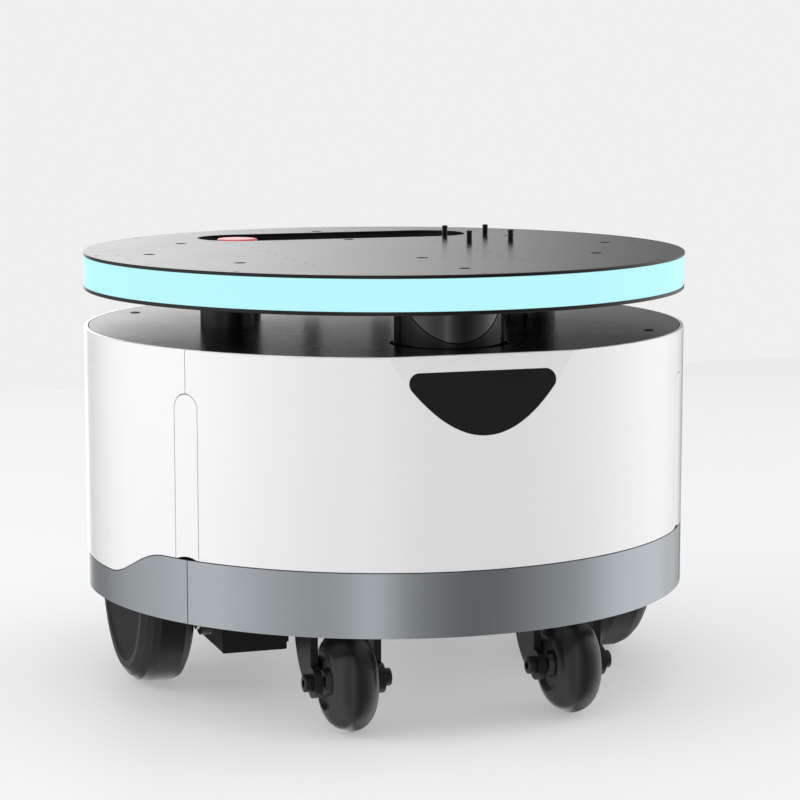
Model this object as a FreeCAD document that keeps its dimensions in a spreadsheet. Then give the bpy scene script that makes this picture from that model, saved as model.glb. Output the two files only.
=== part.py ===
import FreeCAD, Part
import math
import os
import re
import Sketcher
from FreeCAD import Placement, Rotation, Vector

# A round mobile robot base: two sprung hub-motor wheels and four casters under a
# drum-shaped body, with a scanning rangefinder in the gap under a payload deck.
# Millimetres. +Z is up, the front is -Y, the robot's left is +X, and the origin
# is on the floor under the middle of the body.

doc = FreeCAD.newDocument("mobile_robot_base")
sheet = doc.addObject("Spreadsheet::Sheet", "Sizes")

SIZES = [
    # body drum
    ("body_radius", 250.0), ("wall", 3.0), ("seam", 0.8), ("seat", 0.3),
    ("skirt_bottom", 82.0), ("skirt_front_rise", 50.0), ("skirt_rear_rise", 26.5),
    ("body_top", 295.5), ("rim_round", 1.2),
    ("seam_angle", 55.3), ("sweep_start", 61.0), ("sweep_end", 79.0),
    # sloping facet and sensor window in the front shell
    ("facet_depth", 11.2), ("facet_rise", 61.6),
    ("window_margin", 12.5), ("window_rise", 47.4), ("window_half", 58.4),
    ("window_corner", 8.0), ("window_thick", 2.2),
    # side panels
    ("panel_width", 22.6), ("panel_drop", 34.5), ("notch_width", 20.0), ("notch_rise", 2.0),
    # charging contacts in the rear shell
    ("charger_width", 90.0), ("charger_rise", 32.0), ("charger_low", 146.0),
    ("charger_depth", 22.0), ("charger_sink", 1.5),
    ("contact_width", 64.0), ("contact_rise", 7.0), ("contact_pitch", 15.0),
    # chassis
    ("base_thick", 4.0), ("top_thick", 4.0), ("top_gap", 0.8),
    ("post_radius", 10.0), ("front_post_x", 95.0), ("front_post_y", 140.0),
    ("cover_screw_x", 184.0), ("cover_screw_y", 131.0), ("cover_screw_radius", 4.2),
    ("cover_screw_rise", 0.6),
    # rangefinder
    ("lidar_inset", 86.5), ("lidar_radius", 41.3), ("lidar_guard_radius", 43.3),
    ("lidar_hole_radius", 46.2), ("lidar_sink", 43.5), ("lidar_window_wall", 2.2),
    ("lidar_flange_radius", 56.0), ("lidar_flange_thick", 6.0),
    ("lidar_sill", 3.5), ("lidar_cut_rise", 45.4), ("lidar_yaw", 8.5),
    ("rotor_radius", 30.0), ("rotor_rise", 22.0), ("spindle_radius", 4.0),
    # depth camera
    ("camera_width", 90.0), ("camera_height", 24.0), ("camera_depth", 22.0),
    ("camera_drop", 8.0), ("camera_ear", 10.0),
    # deck
    ("deck_gap", 31.0), ("deck_under_thick", 3.0), ("deck_band_rise", 24.5),
    ("deck_thick", 2.7), ("deck_edge", 0.4),
    ("band_wall", 3.6), ("band_inset", 0.4), ("carrier_wall", 7.0),
    ("pillar_radius", 22.2), ("pillar_mid_x", 133.5), ("pillar_mid_y", 8.0),
    ("pillar_rear_x", 97.0), ("pillar_rear_y", 122.0),
    ("slot_half", 122.5), ("slot_low", 110.0), ("slot_high", 185.0),
    ("rim_screw_inset", 6.5), ("rim_screw_radius", 2.5), ("rim_screw_shank", 1.5),
    ("insert_radius", 5.0), ("insert_bore", 3.4), ("insert_length", 12.0),
    ("insert_grid_x", 150.0), ("insert_grid_y", 100.0), ("insert_ring", 200.0),
    ("small_hole", 1.3), ("edge_inset", 24.0), ("edge_hole_step", 44.0),
    ("column_left", 69.0), ("column_right", -104.0), ("column_start", -133.0),
    ("column_pitch", 53.2), ("column_pair", 21.0),
    ("stud_radius", 2.5), ("stud_rise", 10.0), ("stud_x", 90.0), ("stud_y", 39.5),
    ("stud_step_x", 38.0), ("stud_step_y", 64.0), ("stud_seat_radius", 3.2),
    ("stud_head_radius", 4.0), ("stud_head_rise", 1.5),
    # control tray
    ("tray_wall", 1.6), ("tray_flange", 6.0), ("tray_floor_thick", 2.0),
    ("stop_inset", 34.5), ("stop_head_radius", 18.0), ("stop_proud", 0.2),
    ("stop_collar_radius", 15.0), ("stop_barrel_radius", 10.8), ("stop_plunger_radius", 6.5),
    ("stop_travel", 5.0), ("stop_block", 23.0), ("stop_block_rise", 24.0),
    ("stop_rise", 40.0), ("power_x", -20.0), ("power_radius", 8.0),
    ("socket_inset", 43.5), ("socket_pitch", 34.0), ("socket_radius", 9.0),
    # drive wheels and their sprung arms
    ("wheel_radius", 90.0), ("wheel_y", 18.0), ("wheel_outer", 224.0), ("wheel_inner", 180.5),
    ("tread_outer", 209.0), ("tread_inner", 189.0), ("wheel_face_radius", 78.0),
    ("wheel_back_radius", 82.0), ("rim_radius", 71.0), ("axle_radius", 8.0),
    ("running", 0.05), ("arm_thick", 9.0), ("arm_inner", 167.5),
    ("arm_pivot_y", -60.0), ("arm_pivot_z", 66.0), ("arm_pivot_radius", 6.0),
    ("arm_end_y", 62.0), ("arm_end_z", 60.0), ("arm_pad_radius", 13.0),
    ("spring_x", 150.0), ("spring_radius", 9.0), ("spring_wire", 1.5), ("spring_turns", 4.0),
    ("bay_inner", 109.0), ("bay_outer", 164.0), ("bay_front", -86.0), ("bay_back", 30.0),
    ("bay_low", 42.0), ("bay_wall", 4.0), ("bay_step", 6.0),
    # casters
    ("caster_x", 91.8), ("caster_y", 160.0), ("caster_trail", 30.0),
    ("caster_radius", 40.0), ("caster_half", 18.5), ("caster_recess", 1.2),
    ("fork_half", 28.5), ("fork_leg", 6.0), ("fork_front", 1.8), ("fork_depth", 46.0),
    ("fork_room", 5.0), ("fork_crown", 5.0), ("race_rise", 7.0),
    ("caster_axle", 4.0), ("axle_head", 7.0), ("axle_head_rise", 6.5),
    ("race_radius", 21.0), ("kingpin_radius", 6.0), ("caster_plate_thick", 3.0),
    ("caster_plate_x", 62.0), ("caster_plate_y", 54.0),
    # battery and control box
    ("battery_x", 150.0), ("battery_y", 170.0), ("battery_rise", 78.0), ("battery_back", 190.0),
    ("control_x", 150.0), ("control_y", 96.0), ("control_rise", 34.0), ("control_back", -8.0),
]

for row, (name, value) in enumerate(SIZES, start=1):
    sheet.set("A%d" % row, name)
    sheet.set("B%d" % row, str(value))
    sheet.setAlias("B%d" % row, name)
doc.recompute()


# Heights and places that follow from the sizes above.
FOLLOWS = {
    "window_high": "body_top - window_margin",
    "window_low": "body_top - window_margin - window_rise",
    "panel_top": "body_top - panel_drop",
    "lidar_y": "lidar_inset - body_radius",
    "lidar_low": "body_top - lidar_sink",
    "lidar_cut_low": "body_top + lidar_sill",
    "fork_crown_low": "2 * caster_radius + fork_room",
    "fork_crown_high": "fork_crown_low + fork_crown",
    "base_low": "fork_crown_high + race_rise + caster_plate_thick",
    "deck_radius": "body_radius",
    "deck_low": "body_top + deck_gap",
    "band_low": "deck_low + deck_under_thick",
    "deck_top_low": "band_low + deck_band_rise",
    "deck_top": "deck_top_low + deck_thick",
    "rim_screw_ring": "deck_radius - rim_screw_inset",
    "edge_hole": "deck_radius - edge_inset",
    "slot_middle": "(slot_low + slot_high) / 2",
    "floor_z": "band_low + tray_floor_thick",
    "stop_x": "stop_inset - slot_half",
    "stop_top": "deck_top + stop_proud",
    "socket_x": "slot_half - socket_inset - socket_pitch",
}


CELLS = {name for name, _ in SIZES}


def spell_out(formula):
    """Put each size's cell, or the formula it follows from, in place of its name."""
    def spelled(match):
        word = match.group(0)
        if word in FOLLOWS:
            return "(" + spell_out(FOLLOWS[word]) + ")"
        if word in CELLS:
            return "Sizes." + word
        return word
    return re.sub(r"[a-z][a-z_]+", spelled, str(formula))


def size(formula):
    """What a formula of sizes comes to."""
    return float(sheet.evalExpression(spell_out(formula)))


def bind(item, path, formula):
    """Bind a property to the sheet's cells by a formula of their names."""
    item.setExpression(path, spell_out(formula))


nodes = []


def node(item, label):
    """Name a finished sub-part; its label is also its file's name."""
    item.Label = label
    nodes.append(item)
    return item


# ---- features ---------------------------------------------------------------

def new_body(label):
    return node(doc.addObject("PartDesign::Body", label + "_body"), label)


def sketch_on(body, role, shift="0"):
    """A sketch on one of the body's own origin planes, moved along its normal."""
    sketch = body.newObject("Sketcher::SketchObject", body.Label + "_sketch")
    plane = next(f for f in body.Origin.OriginFeatures if f.Role == role)
    sketch.AttachmentSupport = [(plane, "")]
    sketch.MapMode = "FlatFace"
    bind(sketch, "AttachmentOffset.Base.z", shift)
    return sketch


def pin_point(sketch, index, vertex, across, up):
    """Fix a sketch point by two formulas measured from the origin."""
    for kind, formula in (("DistanceX", across), ("DistanceY", up)):
        spot = sketch.addConstraint(Sketcher.Constraint(kind, -1, 1, index, vertex, 1.0))
        bind(sketch, "Constraints[%d]" % spot, formula)


def draw_circle(sketch, radius, across="0", up="0"):
    index = sketch.addGeometry(Part.Circle(Vector(1, 1, 0), Vector(0, 0, 1), 2.0), False)
    spot = sketch.addConstraint(Sketcher.Constraint("Radius", index, 2.0))
    bind(sketch, "Constraints[%d]" % spot, radius)
    pin_point(sketch, index, 3, across, up)
    return index


def draw_outline(sketch, corners):
    """A closed outline of straight lines through corners given as formulas."""
    first = None
    count = len(corners)
    seeds = [Vector(10 * math.cos(6.28 * k / count), 10 * math.sin(6.28 * k / count), 0)
             for k in range(count)]
    for k in range(count):
        line = Part.LineSegment(seeds[k], seeds[(k + 1) % count])
        index = sketch.addGeometry(line, False)
        if first is None:
            first = index
    for k in range(count):
        sketch.addConstraint(
            Sketcher.Constraint("Coincident", first + k, 2, first + (k + 1) % count, 1))
    for k, (across, up) in enumerate(corners):
        pin_point(sketch, first + k, 1, across, up)
    return first


def draw_box(sketch, left, right, low, high):
    return draw_outline(sketch, [(left, low), (right, low), (right, high), (left, high)])


def pad(body, sketch, length, reverse=False):
    feature = body.newObject("PartDesign::Pad", body.Label + "_pad")
    feature.Profile = sketch
    bind(feature, "Length", length)
    feature.Reversed = reverse
    doc.recompute()
    return feature


def pocket(body, sketch, length=None, reverse=False):
    """Cut a sketch out of the body, and insist that it removes something."""
    before = body.Shape.Volume
    feature = body.newObject("PartDesign::Pocket", body.Label + "_pocket")
    feature.Profile = sketch
    if length is None:
        feature.Type = "ThroughAll"
        feature.Midplane = True
    else:
        bind(feature, "Length", length)
        feature.Reversed = reverse
    doc.recompute()
    if body.Shape.Volume > before - 1e-6:
        raise RuntimeError(body.Label + ": a pocket removed nothing")
    return feature


def revolve(body, sketch, axis="V_Axis"):
    feature = body.newObject("PartDesign::Revolution", body.Label + "_turn")
    feature.Profile = sketch
    feature.ReferenceAxis = (sketch, [axis])
    feature.Angle = 360.0
    doc.recompute()
    return feature


def repeat_line(body, feature, sketch, axis, length, count):
    pattern = body.newObject("PartDesign::LinearPattern", body.Label + "_row")
    pattern.Originals = [feature]
    pattern.Direction = (sketch, [axis])
    bind(pattern, "Length", length)
    pattern.Occurrences = count
    body.Tip = pattern
    doc.recompute()
    return pattern


def repeat_round(body, feature, sketch, count):
    pattern = body.newObject("PartDesign::PolarPattern", body.Label + "_ring")
    pattern.Originals = [feature]
    pattern.Axis = (sketch, ["N_Axis"])
    pattern.Angle = 360.0
    pattern.Occurrences = count
    body.Tip = pattern
    doc.recompute()
    return pattern


def soften(body, kind, amount, wanted):
    """Fillet or chamfer the edges of the body for which wanted(edge) is true."""
    base = body.Tip
    names = ["Edge%d" % (k + 1) for k, edge in enumerate(base.Shape.Edges) if wanted(edge)]
    if not names:
        raise RuntimeError(body.Label + ": no edge to soften")
    feature = body.newObject("PartDesign::" + kind, body.Label + "_" + kind.lower())
    feature.Base = (base, names)
    bind(feature, "Radius" if kind == "Fillet" else "Size", amount)
    doc.recompute()
    return feature


def place(item, across="0", along="0", up="0"):
    bind(item, "Placement.Base.x", across)
    bind(item, "Placement.Base.y", along)
    bind(item, "Placement.Base.z", up)
    return item


def cylinder(radius, rise, across="0", along="0", up="0", lying=False):
    """A cylinder from its bottom centre; lying down it runs towards +X."""
    item = doc.addObject("Part::Cylinder", "Cylinder")
    bind(item, "Radius", radius)
    bind(item, "Height", rise)
    if lying:
        item.Placement.Rotation = Rotation(Vector(0, 1, 0), 90)
    return place(item, across, along, up)


def block(length, width, rise, across, along, up):
    """A box from its low corner."""
    item = doc.addObject("Part::Box", "Box")
    bind(item, "Length", length)
    bind(item, "Width", width)
    bind(item, "Height", rise)
    return place(item, across, along, up)


def cut(base, *tools):
    item = base
    for tool in tools:
        step = doc.addObject("Part::Cut", "Cut")
        step.Base = item
        step.Tool = tool
        item = step
    return item


def fuse(*items):
    item = doc.addObject("Part::MultiFuse", "Fuse")
    item.Shapes = list(items)
    return item


def group(*items):
    """Several like pieces kept as one sub-part."""
    item = doc.addObject("Part::Compound", "Group")
    item.Links = list(items)
    return item


def shape_item(label, shape):
    item = doc.addObject("Part::Feature", label + "_shape")
    item.Shape = shape
    return node(item, label)


# ---- plain shapes used by the drum ------------------------------------------

def sector(inner, outer, low, high, start, end):
    """A piece of a ring wall; the angles run from the front (-Y) towards +X."""
    def spot(radius, angle):
        turn = math.radians(angle - 90)
        return Vector(radius * math.cos(turn), radius * math.sin(turn), low)
    middle = (start + end) / 2
    edges = [
        Part.Arc(spot(outer, start), spot(outer, middle), spot(outer, end)).toShape(),
        Part.LineSegment(spot(outer, end), spot(inner, end)).toShape(),
        Part.Arc(spot(inner, end), spot(inner, middle), spot(inner, start)).toShape(),
        Part.LineSegment(spot(inner, start), spot(outer, start)).toShape(),
    ]
    return Part.Face(Part.Wire(edges)).extrude(Vector(0, 0, high - low))


def stand_up(face, angle, radius, depth):
    """Push a flat outline (x across, y up) radially through the wall at an angle."""
    solid = face.extrude(Vector(0, 0, depth))
    solid.Placement = Placement(Vector(0, 0, 0), Rotation(Vector(1, 0, 0), 90))
    solid = solid.copy()
    solid.translate(Vector(0, -radius, 0))
    solid.rotate(Vector(0, 0, 0), Vector(0, 0, 1), angle)
    return solid


def facet_block(sunk):
    """Everything outside the sloping facet, which lies sunk below its own plane."""
    tilt = math.atan2(size("facet_depth"), size("facet_rise"))
    reach = size("body_radius")
    solid = Part.makeBox(2 * reach, 2 * reach, reach, Vector(-reach, -reach, -sunk))
    turn = Rotation(Vector(1, 0, 0), 90 - math.degrees(tilt))
    foot = Vector(0, -size("body_radius"), size("body_top") - size("facet_rise"))
    solid.Placement = Placement(foot, turn)
    return solid


def window_outline(grow):
    """The sensor window: a straight top, round corners and a parabola below."""
    tilt = math.atan2(size("facet_depth"), size("facet_rise"))
    foot = size("body_top") - size("facet_rise")
    low = (size("window_low") - foot) / math.cos(tilt) - grow
    high = (size("window_high") - foot) / math.cos(tilt) + grow
    corner = size("window_corner") + grow
    centre_x = size("window_half") - size("window_corner")
    centre_y = high - corner
    slope = 0.6
    for _ in range(40):
        touch_x = centre_x + corner * math.cos(slope)
        touch_y = centre_y - corner * math.sin(slope)
        slope = math.atan2(touch_x, 2 * (touch_y - low))
    right = Vector(touch_x, touch_y, 0)
    left = Vector(-touch_x, touch_y, 0)
    bowl = Part.BezierCurve()
    bowl.setPoles([left, Vector(0, 2 * low - touch_y, 0), right])
    lean = (math.pi / 2 - slope) / 2
    bulge = Vector(centre_x + corner * math.sin(lean), centre_y + corner * math.cos(lean), 0)
    top_right = Vector(centre_x, high, 0)
    top_left = Vector(-centre_x, high, 0)
    edges = [
        bowl.toShape(),
        Part.Arc(right, bulge, top_right).toShape(),
        Part.LineSegment(top_right, top_left).toShape(),
        Part.Arc(top_left, Vector(-bulge.x, bulge.y, 0), left).toShape(),
    ]
    return Part.Face(Part.Wire(edges))


def on_facet(face, deep, thick):
    """Extrude an outline that lies on the facet, starting deep below its plane."""
    tilt = math.atan2(size("facet_depth"), size("facet_rise"))
    solid = face.extrude(Vector(0, 0, thick))
    solid.translate(Vector(0, 0, -deep))
    foot = Vector(0, -size("body_radius"), size("body_top") - size("facet_rise"))
    turn = Rotation(Vector(1, 0, 0), 90 - math.degrees(tilt))
    solid.Placement = Placement(foot, turn).multiply(solid.Placement)
    return solid


def arch_outline(grow, low):
    """The side panel: upright sides and a half-round top."""
    half = size("panel_width") / 2 + grow
    spring = size("panel_top") - size("panel_width") / 2
    edges = [
        Part.LineSegment(Vector(-half, low, 0), Vector(half, low, 0)).toShape(),
        Part.LineSegment(Vector(half, low, 0), Vector(half, spring, 0)).toShape(),
        Part.Arc(Vector(half, spring, 0), Vector(0, spring + half, 0),
                 Vector(-half, spring, 0)).toShape(),
        Part.LineSegment(Vector(-half, spring, 0), Vector(-half, low, 0)).toShape(),
    ]
    return Part.Face(Part.Wire(edges))


def skirt_zone(lift):
    """The space below the line where grey skirt meets white shell, lifted a little."""
    inner = size("body_radius") - 10 * size("wall")
    outer = size("body_radius") + 10 * size("wall")
    floor = size("skirt_bottom") - 1
    high = size("skirt_bottom") + size("skirt_front_rise") + lift
    low = size("skirt_bottom") + size("skirt_rear_rise") + lift
    start = size("sweep_start")
    end = size("sweep_end")
    zone = sector(inner, outer, floor, high, -start, start)
    zone = zone.fuse(sector(inner, outer, floor, low, end, 360 - end))
    half = size("body_radius") * math.sin(math.radians(end - start) / 2)
    pull = 0.75 * half
    margin = size("wall")
    for side in (1, -1):
        sweep = Part.BezierCurve()
        sweep.setPoles([Vector(-side * half, high, 0), Vector(-side * (half - pull), high, 0),
                        Vector(side * (half - pull), low, 0), Vector(side * half, low, 0)])
        corners = [Vector(side * half, low, 0), Vector(side * (half + margin), low, 0),
                   Vector(side * (half + margin), floor, 0),
                   Vector(-side * (half + margin), floor, 0),
                   Vector(-side * (half + margin), high, 0), Vector(-side * half, high, 0)]
        edges = [sweep.toShape()]
        edges += [Part.LineSegment(a, b).toShape() for a, b in zip(corners, corners[1:])]
        face = Part.Face(Part.Wire(edges))
        deep = 2 * half
        zone = zone.fuse(stand_up(face, side * (start + end) / 2, size("body_radius") - half, deep))
    return zone


# ---- chassis ----------------------------------------------------------------

WHEEL_ROOM = "8"
POSTS = [("pillar_mid_x", "pillar_mid_y"), ("pillar_rear_x", "pillar_rear_y"),
         ("front_post_x", "-front_post_y")]

base_plate = new_body("base_plate")
disc = sketch_on(base_plate, "XY_Plane", "base_low")
draw_circle(disc, "body_radius - wall - seat")
pad(base_plate, disc, "base_thick")
notches = sketch_on(base_plate, "XY_Plane", "base_low")
for side in (1, -1):
    draw_box(notches,
             "%d * (arm_inner - 3)" % side if side > 0 else "-1 * (body_radius + 5)",
             "body_radius + 5" if side > 0 else "-1 * (arm_inner - 3)",
             "wheel_y - wheel_radius - " + WHEEL_ROOM,
             "wheel_y + wheel_radius + " + WHEEL_ROOM)
pocket(base_plate, notches)
kingpins = sketch_on(base_plate, "XY_Plane", "base_low")
for side in (1, -1):
    draw_circle(kingpins, "kingpin_radius", "%d * caster_x" % side, "0 - caster_y")
    draw_circle(kingpins, "kingpin_radius", "%d * caster_x" % side, "caster_y")
pocket(base_plate, kingpins)

posts = []
for post_x, post_y in POSTS:
    for side in (1, -1):
        posts.append(cylinder("post_radius", "body_top - top_thick - base_low - base_thick",
                              "%d * %s" % (side, post_x), post_y, "base_low + base_thick"))
node(group(*posts), "frame_posts")

# The top plate follows the drum and the facet, a small gap inside the shells' rim.
plate = Part.makeCylinder(size("body_radius") - size("wall") - size("top_gap"),
                          size("top_thick"), Vector(0, 0, size("body_top") - size("top_thick")))
plate = plate.cut(facet_block(size("wall") + size("top_gap")))
plate = plate.cut(Part.makeCylinder(size("lidar_hole_radius"), size("body_top"),
                                    Vector(0, size("lidar_y"), 0)))
shape_item("body_top_plate", plate)

screws = []
for side in (1, -1):
    for end in (1, -1):
        screws.append(cylinder("cover_screw_radius", "cover_screw_rise",
                               "%d * cover_screw_x" % side, "%d * cover_screw_y" % end,
                               "body_top"))
node(group(*screws), "top_plate_screws")

# ---- shells, skirts and side panels -----------------------------------------

seam_turn = math.degrees(size("seam") / 2 / size("body_radius"))
front_end = size("seam_angle") - seam_turn
rear_start = size("seam_angle") + seam_turn
outer_radius = size("body_radius")
inner_radius = size("body_radius") - size("wall")
tall = size("body_top") - size("skirt_bottom")

drum = Part.makeCylinder(outer_radius, tall, Vector(0, 0, size("skirt_bottom")))
drum = drum.cut(facet_block(0))
rim = [edge for edge in drum.Edges
       if edge.BoundBox.ZMin > size("body_top") - 1e-3 and edge.Length > size("wall")]
drum = drum.makeFillet(size("rim_round"), rim)
hollow = Part.makeCylinder(inner_radius, tall + 2, Vector(0, 0, size("skirt_bottom") - 1))
hollow = hollow.cut(facet_block(size("wall")))
drum_wall = drum.cut(hollow)

panel_low = size("skirt_bottom") + size("skirt_front_rise") + size("seam")
panels = {}
panel_room = {}
for name, side in (("left", 1), ("right", -1)):
    turn = side * size("seam_angle")
    start_radius = outer_radius - 5 * size("wall")
    deep = 10 * size("wall")
    arch = stand_up(arch_outline(0, panel_low), turn, outer_radius + 5 * size("wall") - deep, deep)
    panels[name] = drum_wall.common(arch)
    panel_room[name] = stand_up(arch_outline(size("seam"), panel_low - 1), turn, start_radius, deep)

# A shallow lens is scooped from each panel's foot so that it can be pulled off.
for name, side in (("left", 1), ("right", -1)):
    half = size("notch_width") / 2
    arc = Part.Arc(Vector(half, panel_low, 0), Vector(0, panel_low + size("notch_rise"), 0),
                   Vector(-half, panel_low, 0))
    chord = Part.LineSegment(Vector(-half, panel_low, 0), Vector(half, panel_low, 0))
    lens = Part.Face(Part.Wire([arc.toShape(), chord.toShape()]))
    scoop = stand_up(lens, side * size("seam_angle"), outer_radius - 5 * size("wall"),
                     10 * size("wall"))
    shape_item(name + "_side_panel", panels[name].cut(scoop))

above_skirt = skirt_zone(size("seam"))
front_room = sector(inner_radius - 20, outer_radius + 5, 0, size("body_top") + 5,
                    -front_end, front_end)
rear_room = sector(inner_radius - 20, outer_radius + 5, 0, size("body_top") + 5,
                   rear_start, 360 - rear_start)

front_shell = drum_wall.common(front_room).cut(above_skirt)
front_shell = front_shell.cut(on_facet(window_outline(size("seat")), 5 * size("wall"),
                                       10 * size("wall")))
rear_shell = drum_wall.common(rear_room).cut(above_skirt)
for name in ("left", "right"):
    front_shell = front_shell.cut(panel_room[name])
    rear_shell = rear_shell.cut(panel_room[name])


def charger_box(grow):
    width = size("charger_width") + 2 * grow
    rise = size("charger_rise") + 2 * grow
    deep = size("charger_depth")
    low = Vector(-width / 2, size("body_radius") - deep, size("charger_low") - grow)
    box = Part.makeBox(width, deep + 5, rise, low)
    upright = [edge for edge in box.Edges
               if abs(edge.BoundBox.YLength - deep - 5) < 1e-3]
    return box.makeFillet(4 + grow, upright)


rear_shell = rear_shell.cut(charger_box(size("seat")))
shape_item("front_shell", front_shell)
shape_item("rear_shell", rear_shell)

skirt_wall = Part.makeCylinder(outer_radius, size("skirt_front_rise"),
                               Vector(0, 0, size("skirt_bottom")))
skirt_wall = skirt_wall.cut(Part.makeCylinder(inner_radius, size("skirt_front_rise"),
                                              Vector(0, 0, size("skirt_bottom"))))
shape_item("front_skirt", skirt_wall.common(front_room))
shape_item("rear_skirt", skirt_wall.common(rear_room).common(skirt_zone(0)))

# ---- what looks out of the drum ---------------------------------------------

shape_item("sensor_window", on_facet(window_outline(0), size("window_thick"),
                                     size("window_thick")))

camera_face = (size("body_radius") - size("facet_depth") - size("wall")
               - size("camera_drop"))
camera_top = size("window_high") - 6
camera_box = Part.makeBox(size("camera_width"), size("camera_depth"), size("camera_height"),
                          Vector(-size("camera_width") / 2, -camera_face,
                                 camera_top - size("camera_height")))
upright = [edge for edge in camera_box.Edges
           if abs(edge.BoundBox.YLength - size("camera_depth")) < 1e-3]
camera_box = camera_box.makeFillet(5, upright)
for offset, radius in ((-0.34, 6.5), (-0.12, 4.0), (0.12, 8.0), (0.34, 6.5)):
    lens = Part.makeCylinder(radius, 1.2, Vector(offset * size("camera_width"), -camera_face,
                                                 camera_top - size("camera_height") / 2),
                             Vector(0, -1, 0))
    camera_box = camera_box.fuse(lens)
# Two ears hang it from the top plate, one on either side of the rangefinder.
ear_top = size("body_top") - size("top_thick") - size("seat")
for side in (1, -1):
    ear = Part.makeBox(size("camera_ear"), size("camera_depth") / 2, ear_top - camera_top + 8,
                       Vector(-size("camera_ear") / 2, -camera_face, camera_top - 8))
    ear.translate(Vector(side * (size("camera_width") - size("camera_ear") - 4) / 2, 0, 0))
    camera_box = camera_box.fuse(ear)
shape_item("depth_camera", camera_box.removeSplitter())

# The rear part sits in the shell and carries two metal strips for the dock.
charger = charger_box(0).common(Part.makeCylinder(outer_radius - size("charger_sink"),
                                                  size("body_top")))
strip_middle = size("charger_low") + size("charger_rise") / 2
strips = []
for level in (1, -1):
    low = strip_middle + level * size("contact_pitch") / 2 - size("contact_rise") / 2
    strip = Part.makeBox(size("contact_width"), size("charger_depth"), size("contact_rise"),
                         Vector(-size("contact_width") / 2, outer_radius - size("wall") - 1, low))
    strip = strip.common(Part.makeCylinder(outer_radius, size("body_top")))
    charger = charger.cut(strip)
    strips.append(strip)
shape_item("charging_block", charger)
shape_item("charging_contacts", Part.makeCompound(strips))

# ---- scanning rangefinder ---------------------------------------------------

lidar_axis = Vector(0, size("lidar_y"), 0)
lidar_high = size("deck_low") - size("seat")
slope = size("lidar_cut_rise") / size("lidar_radius")
yaw = math.radians(size("lidar_yaw"))
face_way = Vector(-math.sin(yaw), -math.cos(yaw), 0)


def lidar_above(lift):
    """The space above the slanted parting plane of the rangefinder."""
    normal = Vector(slope * face_way.x, slope * face_way.y, 1)
    reach = 4 * size("lidar_radius")
    box = Part.makeBox(reach, reach, reach, Vector(-reach / 2, -reach / 2, 0))
    foot = lidar_axis + face_way * size("lidar_radius")
    foot.z = size("lidar_cut_low") + lift
    box.Placement = Placement(foot, Rotation(Vector(0, 0, 1), normal))
    return box


case_inner = size("lidar_radius") - size("lidar_window_wall")
case_floor = size("lidar_cut_low") - 6
can = Part.makeCylinder(size("lidar_radius"), lidar_high - size("lidar_low"),
                        Vector(0, size("lidar_y"), size("lidar_low")))
can = can.cut(lidar_above(0))
# The half that faces backwards has a thicker guard wall than the half in front.
guard = Part.makeCylinder(size("lidar_guard_radius"),
                          lidar_high - size("body_top") + size("top_thick"),
                          Vector(0, size("lidar_y"), size("body_top") - size("top_thick")))
guard = guard.cut(Part.makeCylinder(size("lidar_radius") - 0.5, lidar_high, lidar_axis))
behind = Part.makeBox(400, 200, 400, Vector(-200, -8, 0))
behind.rotate(Vector(0, 0, 0), Vector(0, 0, 1), -size("lidar_yaw"))
behind.translate(lidar_axis)
guard = guard.common(behind)
flange_high = size("body_top") - size("top_thick") - size("seat")
flange = Part.makeCylinder(size("lidar_flange_radius"), size("lidar_flange_thick"),
                           Vector(0, size("lidar_y"), flange_high - size("lidar_flange_thick")))
case = can.fuse(guard).fuse(flange)
case = case.cut(Part.makeCylinder(case_inner, lidar_high, Vector(0, size("lidar_y"), case_floor)))
spindle = Part.makeCylinder(size("spindle_radius"), lidar_high - 2 - case_floor + 2,
                            Vector(0, size("lidar_y"), case_floor - 2))
rear_lidar = Part.makeCylinder(case_inner, lidar_high, Vector(0, size("lidar_y"), case_floor))
rear_wall = Part.makeCylinder(size("lidar_radius"), lidar_high - case_floor,
                              Vector(0, size("lidar_y"), case_floor))
rear_wall = rear_wall.cut(rear_lidar).common(behind).cut(lidar_above(0))
shape_item("lidar_case", case.fuse(rear_wall).fuse(spindle).removeSplitter())

lidar_glass = Part.makeCylinder(size("lidar_radius") - 0.6, lidar_high - case_floor,
                                Vector(0, size("lidar_y"), case_floor))
lidar_glass = lidar_glass.cut(rear_lidar).common(lidar_above(size("seat")))
shape_item("lidar_window", lidar_glass)

rotor = new_body("lidar_rotor")
profile = sketch_on(rotor, "YZ_Plane", "0")
hub_in = "lidar_y + spindle_radius + running"
draw_outline(profile, [
    (hub_in, "lidar_cut_low - 4"),
    ("lidar_y + rotor_radius", "lidar_cut_low - 4"),
    ("lidar_y + rotor_radius", "lidar_cut_low"),
    ("lidar_y + 0.5 * rotor_radius", "lidar_cut_low + 3"),
    ("lidar_y + 0.5 * rotor_radius", "lidar_cut_low - 4 + rotor_rise"),
    (hub_in, "lidar_cut_low - 4 + rotor_rise"),
])
axis_line = profile.addGeometry(Part.LineSegment(Vector(-1, 0, 0), Vector(-1, 5, 0)), True)
pin_point(profile, axis_line, 1, "lidar_y", "0")
pin_point(profile, axis_line, 2, "lidar_y", "10")
revolve(rotor, profile, "Axis0")

# ---- payload deck -----------------------------------------------------------

under_plate = new_body("deck_lower_plate")
disc = sketch_on(under_plate, "XY_Plane", "deck_low")
draw_circle(disc, "deck_radius")
draw_circle(disc, "stop_barrel_radius + seat", "stop_x", "slot_middle")
draw_circle(disc, "power_radius + seat", "power_x", "slot_middle")
for step in (0, 1):
    draw_circle(disc, "socket_radius + seat", "socket_x + %d * socket_pitch" % step,
                "slot_middle")
pad(under_plate, disc, "deck_under_thick")
soften(under_plate, "Chamfer", "deck_edge",
       lambda edge: edge.Length > 2 * math.pi * size("deck_radius") - 1)

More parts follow.
